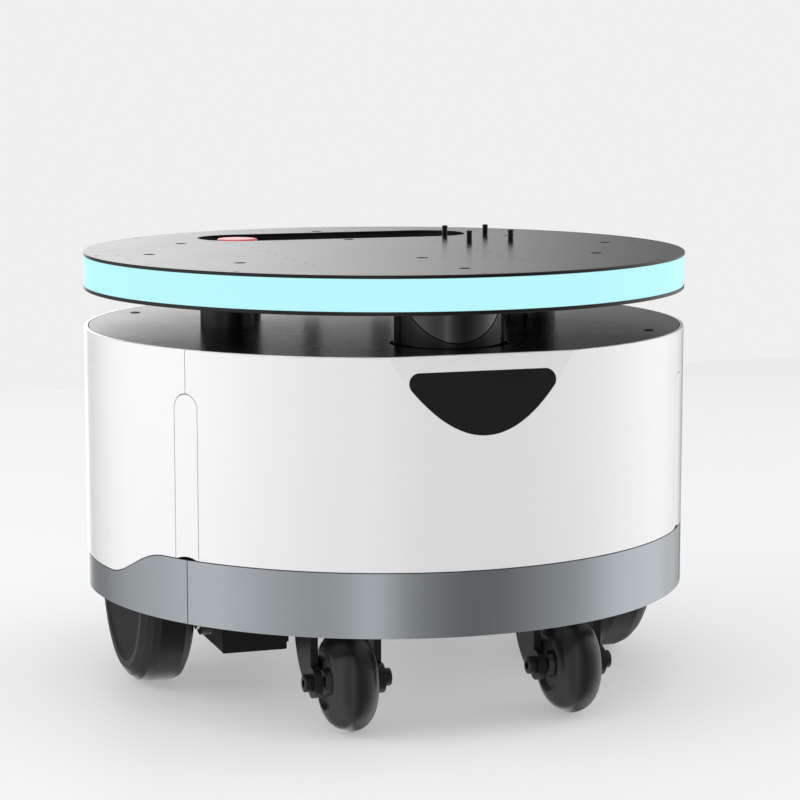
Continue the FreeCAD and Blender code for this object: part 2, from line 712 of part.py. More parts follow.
diffuser = new_body("light_diffuser")
ring = sketch_on(diffuser, "XY_Plane", "band_low")
draw_circle(ring, "deck_radius - band_inset")
draw_circle(ring, "deck_radius - band_inset - band_wall")
pad(diffuser, ring, "deck_band_rise")

carrier = new_body("light_carrier_ring")
ring = sketch_on(carrier, "XY_Plane", "band_low")
carrier_out = "deck_radius - band_inset - band_wall - seat"
draw_circle(ring, carrier_out)
draw_circle(ring, carrier_out + " - carrier_wall")
pad(carrier, ring, "deck_band_rise")
tapped = sketch_on(carrier, "XY_Plane", "deck_top_low")
draw_circle(tapped, "rim_screw_shank + running", "0", "0 - rim_screw_ring")
holes = pocket(carrier, tapped, "12")
repeat_round(carrier, holes, tapped, 8)

deck_plate = new_body("deck_top_plate")
disc = sketch_on(deck_plate, "XY_Plane", "deck_top_low")
draw_circle(disc, "deck_radius")
pad(deck_plate, disc, "deck_thick")

slot = sketch_on(deck_plate, "XY_Plane", "deck_top_low")
slot_radius = "(slot_high - slot_low) / 2"
slot_end = "(slot_half - (slot_high - slot_low) / 2)"
half_turn = math.pi / 2
right_arc = slot.addGeometry(Part.ArcOfCircle(
    Part.Circle(Vector(80, 147, 0), Vector(0, 0, 1), 37), -half_turn, half_turn), False)
left_arc = slot.addGeometry(Part.ArcOfCircle(
    Part.Circle(Vector(-80, 147, 0), Vector(0, 0, 1), 37), half_turn, 3 * half_turn), False)
top_line = slot.addGeometry(Part.LineSegment(Vector(80, 184, 0), Vector(-80, 184, 0)), False)
low_line = slot.addGeometry(Part.LineSegment(Vector(-80, 110, 0), Vector(80, 110, 0)), False)
for one, one_end, two, two_end in ((right_arc, 2, top_line, 1), (top_line, 2, left_arc, 1),
                                   (left_arc, 2, low_line, 1), (low_line, 2, right_arc, 1)):
    slot.addConstraint(Sketcher.Constraint("Tangent", one, one_end, two, two_end))
slot.addConstraint(Sketcher.Constraint("Equal", right_arc, left_arc))
spot = slot.addConstraint(Sketcher.Constraint("Radius", right_arc, 37))
bind(slot, "Constraints[%d]" % spot, slot_radius)
pin_point(slot, right_arc, 3, slot_end, "slot_middle")
pin_point(slot, left_arc, 3, "0 - " + slot_end, "slot_middle")
pocket(deck_plate, slot)
soften(deck_plate, "Chamfer", "deck_edge",
       lambda edge: edge.BoundBox.ZLength < 1e-3
       and (edge.BoundBox.ZMin > size("deck_top") - 1e-3
            or edge.Length > 2 * math.pi * size("deck_radius") - 1))

rim_holes = sketch_on(deck_plate, "XY_Plane", "deck_top_low")
draw_circle(rim_holes, "rim_screw_radius + running", "0", "0 - rim_screw_ring")
holes = pocket(deck_plate, rim_holes)
repeat_round(deck_plate, holes, rim_holes, 8)

INSERTS = [("insert_ring", "0"), ("0 - insert_ring", "0"),
           ("0", "insert_ring"), ("0", "0 - insert_ring"),
           ("0", "insert_grid_y"), ("0", "0 - insert_grid_y")]
INSERTS += [("%d * insert_grid_x" % a, "%d * insert_grid_y" % b)
            for a in (1, -1) for b in (1, -1)]
insert_holes = sketch_on(deck_plate, "XY_Plane", "deck_top_low")
for across, along in INSERTS:
    draw_circle(insert_holes, "insert_radius + running", across, along)
pocket(deck_plate, insert_holes)

small_holes = sketch_on(deck_plate, "XY_Plane", "deck_top_low")
for across, along in (("edge_hole", "0"), ("0 - edge_hole", "0"), ("0", "edge_hole")):
    draw_circle(small_holes, "small_hole", across, along)
for side in (1, -1):
    draw_circle(small_holes, "small_hole", "%d * edge_hole_step" % side, "edge_hole")
    for end in (1, -1):
        draw_circle(small_holes, "small_hole", "%d * edge_hole" % side,
                    "%d * edge_hole_step" % end)
pocket(deck_plate, small_holes)

pair_holes = sketch_on(deck_plate, "XY_Plane", "deck_top_low")
for column in ("column_left", "column_right"):
    for side in (1, -1):
        draw_circle(pair_holes, "small_hole", column,
                    "column_start + %d * column_pair / 2" % side)
pairs = pocket(deck_plate, pair_holes)
repeat_line(deck_plate, pairs, pair_holes, "V_Axis", "4 * column_pitch", 5)

stud_holes = sketch_on(deck_plate, "XY_Plane", "deck_top_low")
STUDS = [("stud_x + %d * stud_step_x" % a, "stud_y + %d * stud_step_y" % b)
         for a in (0, 1) for b in (0, 1)]
for across, along in STUDS:
    draw_circle(stud_holes, "stud_seat_radius + running", across, along)
pocket(deck_plate, stud_holes)

# Each stud is pressed into the plate by a collar wider than its thread.
studs = []
for across, along in STUDS:
    shank = cylinder("stud_radius", "stud_rise", across, along, "deck_top")
    collar = cylinder("stud_seat_radius", "deck_thick", across, along, "deck_top_low")
    head = cylinder("stud_head_radius", "stud_head_rise", across, along,
                    "deck_top_low - stud_head_rise")
    studs.append(fuse(shank, collar, head))
node(group(*studs), "payload_studs")

inserts = []
for across, along in INSERTS:
    sleeve = cylinder("insert_radius", "insert_length", across, along,
                      "deck_top - insert_length")
    bore = cylinder("insert_bore", "insert_length", across, along, "deck_top - insert_length")
    inserts.append(cut(sleeve, bore))
node(group(*inserts), "deck_inserts")

rim_screws = []
for step in range(8):
    across = "rim_screw_ring * sin(%s deg)" % (45 * step)
    along = "0 - rim_screw_ring * cos(%s deg)" % (45 * step)
    head = cylinder("rim_screw_radius", "deck_thick", across, along, "deck_top_low")
    shank = cylinder("rim_screw_shank", "10", across, along, "deck_top_low - 10")
    rim_screws.append(fuse(head, shank))
node(group(*rim_screws), "deck_screws")

pillars = []
for pillar_x, pillar_y in POSTS[:2]:
    for side in (1, -1):
        pillars.append(cylinder("pillar_radius", "deck_low - body_top",
                                "%d * %s" % (side, pillar_x), pillar_y, "body_top"))
node(group(*pillars), "deck_pillars")

# ---- control tray under the deck's slot -------------------------------------

tray_low = size("band_low")
tray_high = size("deck_top_low")
tray_middle = size("slot_middle")
tray_floor = size("floor_z")


def stadium(grow, low, high):
    """A solid with the slot's outline, grown all round."""
    radius = (size("slot_high") - size("slot_low")) / 2 + grow
    reach = size("slot_half") - radius + grow
    solid = Part.makeBox(2 * reach, 2 * radius, high - low,
                         Vector(-reach, tray_middle - radius, low))
    for side in (1, -1):
        solid = solid.fuse(Part.makeCylinder(radius, high - low,
                                             Vector(side * reach, tray_middle, low)))
    return solid.removeSplitter()


tray = stadium(size("tray_wall"), tray_low, tray_high)
tray = tray.fuse(stadium(size("tray_flange"), tray_high - size("tray_wall"), tray_high))
tray = tray.cut(stadium(0, tray_floor, tray_high + 1))
for stud_x in (size("stud_x"), size("stud_x + stud_step_x")):
    tray = tray.cut(Part.makeCylinder(size("stud_head_radius") + 0.5, size("tray_wall"),
                                      Vector(stud_x, size("stud_y + stud_step_y"),
                                             tray_high - size("tray_wall"))))
openings = [(size("stop_x"), size("stop_barrel_radius")), (size("power_x"), size("power_radius"))]
openings += [(size("socket_x") + k * size("socket_pitch"), size("socket_radius"))
             for k in (0, 1)]
for across, radius in openings:
    tray = tray.cut(Part.makeCylinder(radius + size("seat"), 20,
                                      Vector(across, tray_middle, tray_low - 5)))
tray = tray.cut(Part.makeCylinder(size("insert_radius") + 1, 40,
                                  Vector(0, size("insert_grid_y"), tray_low)))
shape_item("control_tray", tray.removeSplitter())

# The stop's contact block hangs under the plate, just behind the pillar next to it.
collar = cylinder("stop_collar_radius", "4", "stop_x", "slot_middle", "floor_z")
barrel = cylinder("stop_barrel_radius", "tray_floor_thick + deck_under_thick", "stop_x",
                  "slot_middle", "deck_low")
contacts = block("stop_block", "stop_block", "stop_block_rise", "stop_x - stop_block / 2",
                 "pillar_rear_y + pillar_radius + 1", "deck_low - stop_block_rise")
bore = cylinder("stop_plunger_radius + running", "stop_rise", "stop_x", "slot_middle",
                "deck_low + 1")
node(cut(fuse(collar, barrel, contacts), bore), "emergency_stop_housing")

plunger = new_body("emergency_stop_plunger")
profile = sketch_on(plunger, "XZ_Plane", "0 - slot_middle")
neck = "stop_top - 6"
shoulder = "stop_top - 9"
draw_outline(profile, [
    ("stop_x", "deck_low + 2 + stop_travel"),
    ("stop_x + stop_plunger_radius", "deck_low + 2 + stop_travel"),
    ("stop_x + stop_plunger_radius", shoulder),
    ("stop_x + 4", shoulder),
    ("stop_x + 4", neck),
    ("stop_x", neck),
])
axis_line = profile.addGeometry(Part.LineSegment(Vector(0, 0, 0), Vector(0, 5, 0)), True)
pin_point(profile, axis_line, 1, "stop_x", "0")
pin_point(profile, axis_line, 2, "stop_x", "10")
revolve(plunger, profile, "Axis0")

# The red head is a shallow mushroom that turns on the plunger's neck.
head_top = size("stop_top")
head_radius = size("stop_head_radius")
dome = Part.makeSphere(head_radius * 1.9, Vector(size("stop_x"), tray_middle,
                                                head_top - head_radius * 1.9))
mushroom = Part.makeCylinder(head_radius, 13, Vector(size("stop_x"), tray_middle, head_top - 13))
mushroom = mushroom.common(dome)
rims = [edge for edge in mushroom.Edges
        if edge.BoundBox.XLength > 2 * head_radius - 0.01 and edge.BoundBox.ZLength < 1e-3]
mushroom = mushroom.makeFillet(2.6, rims)
mushroom = mushroom.cut(Part.makeCylinder(4 + size("running"), 3.3,
                                          Vector(size("stop_x"), tray_middle, head_top - 9)))
mushroom = mushroom.cut(Part.makeCylinder(size("stop_plunger_radius") + 0.3, 4.3,
                                          Vector(size("stop_x"), tray_middle, head_top - 13)))
shape_item("emergency_stop_button", mushroom)

bezel = new_body("power_button_bezel")
profile = sketch_on(bezel, "XZ_Plane", "0 - slot_middle")
bore_edge = "power_x + 0.72 * power_radius + running"
draw_outline(profile, [
    (bore_edge, "deck_low - 16"),
    ("power_x + power_radius", "deck_low - 16"),
    ("power_x + power_radius", "floor_z"),
    ("power_x + 1.35 * power_radius", "floor_z"),
    ("power_x + 1.35 * power_radius", "floor_z + 1.5"),
    ("power_x + 1.2 * power_radius", "floor_z + 2.5"),
    (bore_edge, "floor_z + 2.5"),
])
axis_line = profile.addGeometry(Part.LineSegment(Vector(0, 0, 0), Vector(0, 5, 0)), True)
pin_point(profile, axis_line, 1, "power_x", "0")
pin_point(profile, axis_line, 2, "power_x", "10")
revolve(bezel, profile, "Axis0")

power_button = new_body("power_button")
button = sketch_on(power_button, "XY_Plane", "deck_low - 8")
draw_circle(button, "0.72 * power_radius", "power_x", "slot_middle")
pad(power_button, button, "deck_under_thick + tray_floor_thick + 8 + 4.2")
soften(power_button, "Fillet", "0.8",
       lambda edge: edge.BoundBox.ZMin > tray_floor + 4)

sockets = []
for step in (0, 1):
    across = "socket_x + %d * socket_pitch" % step
    barrel = cylinder("socket_radius", "deck_under_thick + tray_floor_thick + 14", across,
                      "slot_middle", "deck_low - 14")
    flange = cylinder("1.4 * socket_radius", "2", across, "slot_middle", "floor_z")
    mouth = cylinder("socket_radius", "6", across, "slot_middle", "floor_z")
    well = cylinder("0.78 * socket_radius", "12", across, "slot_middle", "floor_z - 4")
    sockets.append(cut(fuse(barrel, flange, mouth), well))
node(group(*sockets), "payload_sockets")

# ---- battery and control box ------------------------------------------------

battery = new_body("battery_pack")
outline = sketch_on(battery, "XY_Plane", "base_low + base_thick")
draw_box(outline, "0 - battery_x / 2", "battery_x / 2", "battery_back - battery_y",
         "battery_back")
pad(battery, outline, "battery_rise")
soften(battery, "Fillet", "5", lambda edge: edge.BoundBox.ZLength > 10)
groove = sketch_on(battery, "XY_Plane", "base_low + base_thick + battery_rise")
draw_box(groove, "0 - battery_x / 2 + 12", "battery_x / 2 - 12",
         "battery_back - battery_y + 12", "battery_back - 12")
pocket(battery, groove, "1.5")

controller = new_body("control_box")
outline = sketch_on(controller, "XY_Plane", "base_low + base_thick")
draw_box(outline, "0 - control_x / 2", "control_x / 2", "control_back - control_y",
         "control_back")
pad(controller, outline, "control_rise")
grooves = sketch_on(controller, "XY_Plane", "base_low + base_thick + control_rise")
draw_box(grooves, "0 - control_x / 2 + 8", "0 - control_x / 2 + 14",
         "control_back - control_y - 1", "control_back + 1")
fins = pocket(controller, grooves, "10")
repeat_line(controller, fins, grooves, "H_Axis", "control_x - 22", 9)

# ---- drive modules ----------------------------------------------------------


def link(one, one_radius, two, two_radius):
    """A flat plate with a round end at each of two points of the Y-Z plane."""
    gap = two - one
    across = Vector(-gap.y, gap.x, 0).normalize()
    lean = math.asin((one_radius - two_radius) / gap.Length)
    along = Vector(gap).normalize()
    up = across * math.cos(lean) + along * math.sin(lean)
    down = across * -math.cos(lean) + along * math.sin(lean)
    far_one = one - along * one_radius
    far_two = two + along * two_radius
    edges = [
        Part.LineSegment(one + up * one_radius, two + up * two_radius).toShape(),
        Part.Arc(two + up * two_radius, far_two, two + down * two_radius).toShape(),
        Part.LineSegment(two + down * two_radius, one + down * one_radius).toShape(),
        Part.Arc(one + down * one_radius, far_one, one + up * one_radius).toShape(),
    ]
    return Part.Face(Part.Wire(edges))


def across_x(face, start, thick):
    """Extrude a Y-Z outline along X from a given start."""
    solid = face.extrude(Vector(0, 0, thick))
    turn = Rotation(Vector(0, 1, 0), Vector(0, 0, 1), Vector(1, 0, 0), "XYZ")
    solid.Placement = Placement(Vector(start, 0, 0), turn)
    return solid.copy()


def mirrored(shape, side):
    if side > 0:
        return shape
    return shape.mirror(Vector(0, 0, 0), Vector(1, 0, 0))


bay_top = size("base_low")
axle_z = size("wheel_radius")
pivots = []
for name, side in (("left", 1), ("right", -1)):
    sign = "%d * " % side

    # The rubber tyre is a ring with a flat tread between a long and a short shoulder.
    tyre = new_body(name + "_drive_tyre")
    profile = sketch_on(tyre, "XY_Plane", "wheel_radius")
    draw_outline(profile, [
        (sign + "wheel_outer", "wheel_y + rim_radius + seat"),
        (sign + "wheel_outer", "wheel_y + wheel_face_radius - 1"),
        (sign + "(wheel_outer - 1)", "wheel_y + wheel_face_radius + 1"),
        (sign + "(wheel_outer - 0.30 * (wheel_outer - tread_outer))",
         "wheel_y + wheel_face_radius + 0.50 * (wheel_radius - wheel_face_radius)"),
        (sign + "(wheel_outer - 0.62 * (wheel_outer - tread_outer))",
         "wheel_y + wheel_face_radius + 0.83 * (wheel_radius - wheel_face_radius)"),
        (sign + "tread_outer", "wheel_y + wheel_radius"),
        (sign + "tread_inner", "wheel_y + wheel_radius"),
        (sign + "(wheel_inner + 0.4 * (tread_inner - wheel_inner))",
         "wheel_y + wheel_radius - 0.25 * (wheel_radius - wheel_back_radius)"),
        (sign + "wheel_inner", "wheel_y + wheel_back_radius"),
        (sign + "wheel_inner", "wheel_y + rim_radius + seat"),
    ])
    axis_line = profile.addGeometry(Part.LineSegment(Vector(0, 0, 0), Vector(5, 0, 0)), True)
    pin_point(profile, axis_line, 1, "0", "wheel_y")
    pin_point(profile, axis_line, 2, "10", "wheel_y")
    revolve(tyre, profile, "Axis0")

    # The hub motor's case: a drum with a flat outer cover inside a low lip.
    hub = new_body(name + "_drive_hub")
    profile = sketch_on(hub, "XY_Plane", "wheel_radius")
    draw_outline(profile, [
        (sign + "wheel_inner", "wheel_y + axle_radius + running"),
        (sign + "(wheel_outer - 6)", "wheel_y + axle_radius + running"),
        (sign + "(wheel_outer - 6)", "wheel_y"),
        (sign + "(wheel_outer - 1)", "wheel_y"),
        (sign + "(wheel_outer - 1)", "wheel_y + 0.93 * rim_radius"),
        (sign + "wheel_outer", "wheel_y + 0.96 * rim_radius"),
        (sign + "wheel_outer", "wheel_y + rim_radius"),
        (sign + "wheel_inner", "wheel_y + rim_radius"),
        (sign + "wheel_inner", "wheel_y + 0.9 * rim_radius"),
        (sign + "(wheel_inner + 3)", "wheel_y + 0.86 * rim_radius"),
        (sign + "(wheel_inner + 3)", "wheel_y + 0.36 * rim_radius"),
        (sign + "wheel_inner", "wheel_y + 0.3 * rim_radius"),
    ])
    axis_line = profile.addGeometry(Part.LineSegment(Vector(0, 0, 0), Vector(5, 0, 0)), True)
    pin_point(profile, axis_line, 1, "0", "wheel_y")
    pin_point(profile, axis_line, 2, "10", "wheel_y")
    revolve(hub, profile, "Axis0")

    axle_start = "arm_inner - 2"
    axle_end = "wheel_outer - 8"
    low_end = axle_start if side > 0 else "-1 * (%s)" % axle_end
    node(cylinder("axle_radius", "(%s) - (%s)" % (axle_end, axle_start), low_end, "wheel_y",
                  "wheel_radius", lying=True), name + "_drive_axle")

    # The arm hangs from a pin near the front and ends in a pad under the spring.
    pivot = Vector(size("arm_pivot_y"), size("arm_pivot_z"), 0)
    hub_point = Vector(size("wheel_y"), axle_z, 0)
    end_point = Vector(size("arm_end_y"), size("arm_end_z"), 0)
    inner = size("arm_inner")
    thick = size("arm_thick")
    arm = across_x(link(hub_point, 20, pivot, 13), inner, thick)
    arm = arm.fuse(across_x(link(hub_point, 20, end_point, 10), inner, thick))
    pad_length = inner + thick - size("spring_x")
    shelf = Part.makeBox(pad_length, 2 * size("arm_pad_radius"), 8,
                         Vector(size("spring_x"), size("arm_end_y") - size("arm_pad_radius"),
                                size("arm_end_z") - 4))
    round_end = Part.makeCylinder(size("arm_pad_radius"), 8,
                                  Vector(size("spring_x"), size("arm_end_y"),
                                         size("arm_end_z") - 4))
    arm = arm.fuse(shelf).fuse(round_end)
    axle_bore = Part.makeCylinder(size("axle_radius") + size("running"), 400,
                                  Vector(0, size("wheel_y"), axle_z), Vector(1, 0, 0))
    pin_bore = Part.makeCylinder(size("arm_pivot_radius") + size("running"), 400,
                                 Vector(0, size("arm_pivot_y"), size("arm_pivot_z")),
                                 Vector(1, 0, 0))
    arm = arm.cut(axle_bore).cut(pin_bore)
    shape_item(name + "_drive_arm", mirrored(arm.removeSplitter(), side))

    # The housing is an open-topped box under the plate, stepped at its inner side.
    bay = Part.makeBox(size("bay_outer") - size("bay_inner"),
                       size("bay_back") - size("bay_front"), bay_top - size("bay_low"),
                       Vector(size("bay_inner"), size("bay_front"), size("bay_low")))
    step = Part.makeBox(1.5, size("bay_back") - size("bay_front"), size("bay_step"),
                        Vector(size("bay_inner"), size("bay_front"), size("bay_low")))
    bay = bay.cut(step)
    low_edges = [edge for edge in bay.Edges
                 if edge.BoundBox.ZMax < size("bay_low") + 1e-3
                 and edge.BoundBox.YLength > 10]
    bay = bay.makeFillet(1.4, low_edges)
    wall = size("bay_wall")
    room = Part.makeBox(size("bay_outer") - size("bay_inner") - 2 * wall,
                        size("bay_back") - size("bay_front") - 2 * wall,
                        bay_top - size("bay_low") - 2 * wall,
                        Vector(size("bay_inner") + wall, size("bay_front") + wall,
                               size("bay_low") + wall))
    bay = bay.cut(room)
    bay = bay.cut(Part.makeCylinder(size("arm_pivot_radius") + size("running"), 400,
                                    Vector(0, size("arm_pivot_y"), size("arm_pivot_z")),
                                    Vector(1, 0, 0)))
    shape_item(name + "_drive_housing", mirrored(bay, side))

    pin = Part.makeCylinder(size("arm_pivot_radius"),
                            inner + thick + 1.5 - size("bay_inner"),
                            Vector(size("bay_inner"), size("arm_pivot_y"),
                                   size("arm_pivot_z")), Vector(1, 0, 0))
    head = Part.makeCylinder(size("arm_pivot_radius") + 2.5, 3,
                             Vector(inner + thick + 0.5, size("arm_pivot_y"),
                                    size("arm_pivot_z")), Vector(1, 0, 0))
    pivots.append(mirrored(pin.fuse(head), side))

    # Compression spring between the arm's pad and the base plate.
    spring_low = size("arm_end_z") + 4 + size("spring_wire") + 0.2
    spring_high = size("base_low") - size("spring_wire") - 0.2
    pitch = (spring_high - spring_low) / size("spring_turns")
    helix = Part.makeHelix(pitch, spring_high - spring_low, size("spring_radius"))
    wire_ring = Part.Wire([Part.makeCircle(size("spring_wire"),
                                           Vector(size("spring_radius"), 0, 0),
                                           Vector(0, 1, 0))])
    spring = Part.Wire(helix.Edges).makePipeShell([wire_ring], True, True)
    spring.translate(Vector(size("spring_x"), size("arm_end_y"), spring_low))
    shape_item(name + "_drive_spring", mirrored(spring, side))
shape_item("arm_pivot_pins", Part.makeCompound(pivots))

# ---- casters ----------------------------------------------------------------

plates = []
CASTERS = [("front_left", 1, -1), ("front_right", -1, -1), ("rear_left", 1, 1),
           ("rear_right", -1, 1)]
for name, side, end in CASTERS:
    across = "%d * caster_x" % side
    along = "%d * caster_y" % end
    wheel_along = along + " - caster_trail"
    swivel_x = side * size("caster_x")
    swivel_y = end * size("caster_y")
    wheel_y = swivel_y - size("caster_trail")
    wheel_z = size("caster_radius")

    # Mounting plate, ball race and kingpin are one fixed piece.
    mount = block("caster_plate_x", "caster_plate_y", "caster_plate_thick",
                  across + " - caster_plate_x / 2", along + " - caster_plate_y / 2",
                  "base_low - caster_plate_thick")
    race = cylinder("race_radius", "base_low - caster_plate_thick - fork_crown_high - seat",
                    across, along, "fork_crown_high + seat")
    kingpin = cylinder("kingpin_radius", "base_low - fork_crown_low + 4", across, along,
                       "fork_crown_low - 3.5")
    nut = cylinder("kingpin_radius + 2", "3", across, along, "fork_crown_low - 3 - seat")
    plates.append(fuse(mount, race, kingpin, nut))

    # The fork: a crown over two legs whose rear edges sweep down to the axle bosses.
    front = size("fork_front")
    rear = size("fork_depth")
    crown_low = size("fork_crown_low")
    crown_high = size("fork_crown_high")
    boss = Vector(0, wheel_z, 0)
    outline = [
        Part.LineSegment(Vector(front, crown_high, 0), Vector(rear, crown_high, 0)).toShape(),
        Part.LineSegment(Vector(rear, crown_high, 0), Vector(rear, crown_low - 17, 0)).toShape(),
        Part.Arc(Vector(rear, crown_low - 17, 0), Vector(0.72 * rear, wheel_z + 5, 0),
                 Vector(4, wheel_z - 10, 0)).toShape(),
        Part.LineSegment(Vector(4, wheel_z - 10, 0), Vector(front, wheel_z - 6, 0)).toShape(),
        Part.LineSegment(Vector(front, wheel_z - 6, 0), Vector(front, crown_high, 0)).toShape(),
    ]
    leg_face = Part.Face(Part.Wire(outline))
    leg = across_x(leg_face, 0, size("fork_leg"))
    eye = Part.Face(Part.Wire([Part.makeCircle(12, boss)]))
    leg = leg.fuse(across_x(eye, 0, size("fork_leg")))
    near = leg.copy()
    near.translate(Vector(size("fork_half") - size("fork_leg"), 0, 0))
    far = leg.copy()
    far.translate(Vector(-size("fork_half"), 0, 0))
    crown = Part.makeBox(2 * size("fork_half"), rear - front, crown_high - crown_low,
                         Vector(-size("fork_half"), front, crown_low))
    bore = Part.makeCylinder(size("kingpin_radius") + size("running"), 30,
                             Vector(0, size("caster_trail"), crown_low - 10))
    axle_bore = Part.makeCylinder(size("caster_axle") + size("running"), 100,
                                  Vector(-50, 0, wheel_z), Vector(1, 0, 0))
    fork = crown.fuse(near).fuse(far).cut(bore).cut(axle_bore).removeSplitter()
    fork.translate(Vector(swivel_x, wheel_y, 0))
    shape_item(name + "_caster_fork", fork)

    # Solid wheel: a round tread on a dished web, with a hub that reaches the legs.
    half = size("caster_half")
    bore_radius = size("caster_axle") + size("running")
    shoulder = size("caster_radius") - half * 0.95
    edge_x = half * 0.9
    web_x = edge_x - size("caster_recess")
    section = [Vector(-half - 1, bore_radius, 0), Vector(half + 1, bore_radius, 0),
               Vector(half + 1, 9, 0), Vector(web_x, 11, 0),
               Vector(web_x, shoulder - 4, 0), Vector(edge_x, shoulder - 2, 0),
               Vector(half, shoulder, 0)]
    left_section = [Vector(-point.x, point.y, 0) for point in reversed(section[2:])]
    edges = [Part.LineSegment(a, b).toShape() for a, b in zip(section, section[1:])]
    edges.append(Part.Arc(Vector(half, shoulder, 0), Vector(0, size("caster_radius"), 0),
                          Vector(-half, shoulder, 0)).toShape())
    closing = left_section + [section[0]]
    edges += [Part.LineSegment(a, b).toShape() for a, b in zip(closing, closing[1:])]
    wheel = Part.Face(Part.Wire(edges)).revolve(Vector(0, 0, 0), Vector(1, 0, 0), 360)
    wheel.translate(Vector(swivel_x, wheel_y, wheel_z))
    shape_item(name + "_caster_wheel", wheel)

    bolt = cylinder("caster_axle", "2 * fork_half + 2", across + " - fork_half - 1", wheel_along,
                    "caster_radius", lying=True)
    head = cylinder("axle_head", "axle_head_rise", across + " - fork_half - axle_head_rise",
                    wheel_along, "caster_radius", lying=True)
    nut = cylinder("axle_head", "axle_head_rise", across + " + fork_half", wheel_along,
                   "caster_radius", lying=True)
    node(fuse(bolt, head, nut), name + "_caster_axle")
node(group(*plates), "caster_plates")

# ---- check and write --------------------------------------------------------

doc.recompute()
faults = [item.Name for item in doc.Objects if {"Invalid", "Error"} & set(item.State)]
for item in nodes:
    if item.Shape.isNull() or not item.Shape.isValid() or not item.Shape.Solids:
        faults.append(item.Label)
if faults:
    raise RuntimeError("failed objects: " + ", ".join(faults))

os.makedirs("parts", exist_ok=True)
for item in nodes:
    item.Shape.exportStep(os.path.join("parts", item.Label + ".step"))
print("%d sub-parts, %d solids" % (len(nodes), sum(len(item.Shape.Solids) for item in nodes)))
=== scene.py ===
import math

import bpy
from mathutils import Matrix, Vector


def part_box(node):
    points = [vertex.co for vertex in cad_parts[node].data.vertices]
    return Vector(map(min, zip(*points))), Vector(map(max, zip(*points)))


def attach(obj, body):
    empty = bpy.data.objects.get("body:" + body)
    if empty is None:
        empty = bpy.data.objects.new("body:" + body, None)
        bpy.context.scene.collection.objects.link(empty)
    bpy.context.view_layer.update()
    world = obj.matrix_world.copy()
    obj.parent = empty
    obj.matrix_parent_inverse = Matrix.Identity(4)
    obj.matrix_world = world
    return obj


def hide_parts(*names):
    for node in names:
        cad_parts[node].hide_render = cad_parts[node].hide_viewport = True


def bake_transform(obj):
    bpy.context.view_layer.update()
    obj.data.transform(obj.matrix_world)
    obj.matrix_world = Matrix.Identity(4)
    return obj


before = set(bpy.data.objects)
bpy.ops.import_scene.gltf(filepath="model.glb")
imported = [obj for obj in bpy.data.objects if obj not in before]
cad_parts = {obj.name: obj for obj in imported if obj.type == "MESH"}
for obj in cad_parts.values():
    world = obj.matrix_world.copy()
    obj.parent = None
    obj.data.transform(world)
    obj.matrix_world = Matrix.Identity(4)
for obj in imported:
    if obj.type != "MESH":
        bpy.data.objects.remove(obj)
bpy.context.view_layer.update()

# ---- camera -----------------------------------------------------------------
# A long lens looks slightly down at the base from its front right, just above
# the deck, so that the deck is a thin ellipse and the drum's front is broad.
TILT_DOWN, TURN_ASIDE = 0.1411, 0.3188
camera_data = bpy.data.cameras.new("camera")
camera_data.sensor_width = 36.0
camera_data.lens = 113.3
camera_data.clip_end = 60.0
camera = bpy.data.objects.new("camera", camera_data)
camera.location = (-0.646, -2.000, 0.527)
camera.rotation_euler = (math.pi / 2 - TILT_DOWN, 0.0, -TURN_ASIDE)
bpy.context.scene.collection.objects.link(camera)
bpy.context.scene.camera = camera

# ---- studio -----------------------------------------------------------------
# A pale floor runs back into an even pale room. Large soft boxes stand left and
# right, and the front stays dimmer, as in a product studio. The floor glows a
# little for the eye, and a mirror looks through it at the room.
FLOOR_GLOW = 0.36
bpy.ops.object.select_all(action="DESELECT")
bpy.ops.mesh.primitive_plane_add(size=14.0, location=(0.0, -5.2, 0.0))
floor = bpy.context.object
floor.name = "floor"
floor_finish = bpy.data.materials.new("pale_floor")
floor_finish.use_nodes = True
floor_nodes = floor_finish.node_tree.nodes
floor_links = floor_finish.node_tree.links
floor_shader = floor_nodes["Principled BSDF"]
floor_shader.inputs["Base Color"].default_value = (0.80, 0.80, 0.80, 1.0)
floor_shader.inputs["Roughness"].default_value = 0.55
floor_shader.inputs["Specular IOR Level"].default_value = 0.2
floor_glow = floor_nodes.new("ShaderNodeEmission")
floor_glow.inputs["Color"].default_value = (1.0, 1.0, 1.0, 1.0)
floor_rays = floor_nodes.new("ShaderNodeLightPath")
floor_share = floor_nodes.new("ShaderNodeMath")
floor_share.operation = "MULTIPLY"
floor_share.inputs[1].default_value = FLOOR_GLOW
floor_seen = floor_nodes.new("ShaderNodeMixShader")
floor_gap = floor_nodes.new("ShaderNodeBsdfTransparent")
floor_mirrored = floor_nodes.new("ShaderNodeMixShader")
floor_links.new(floor_rays.outputs["Is Camera Ray"], floor_share.inputs[0])
floor_links.new(floor_share.outputs["Value"], floor_seen.inputs["Fac"])
floor_links.new(floor_shader.outputs["BSDF"], floor_seen.inputs[1])
floor_links.new(floor_glow.outputs["Emission"], floor_seen.inputs[2])
floor_links.new(floor_rays.outputs["Is Glossy Ray"], floor_mirrored.inputs["Fac"])
floor_links.new(floor_seen.outputs["Shader"], floor_mirrored.inputs[1])
floor_links.new(floor_gap.outputs["BSDF"], floor_mirrored.inputs[2])
floor_links.new(floor_mirrored.outputs["Shader"], floor_nodes["Material Output"].inputs["Surface"])
floor.data.materials.append(floor_finish)


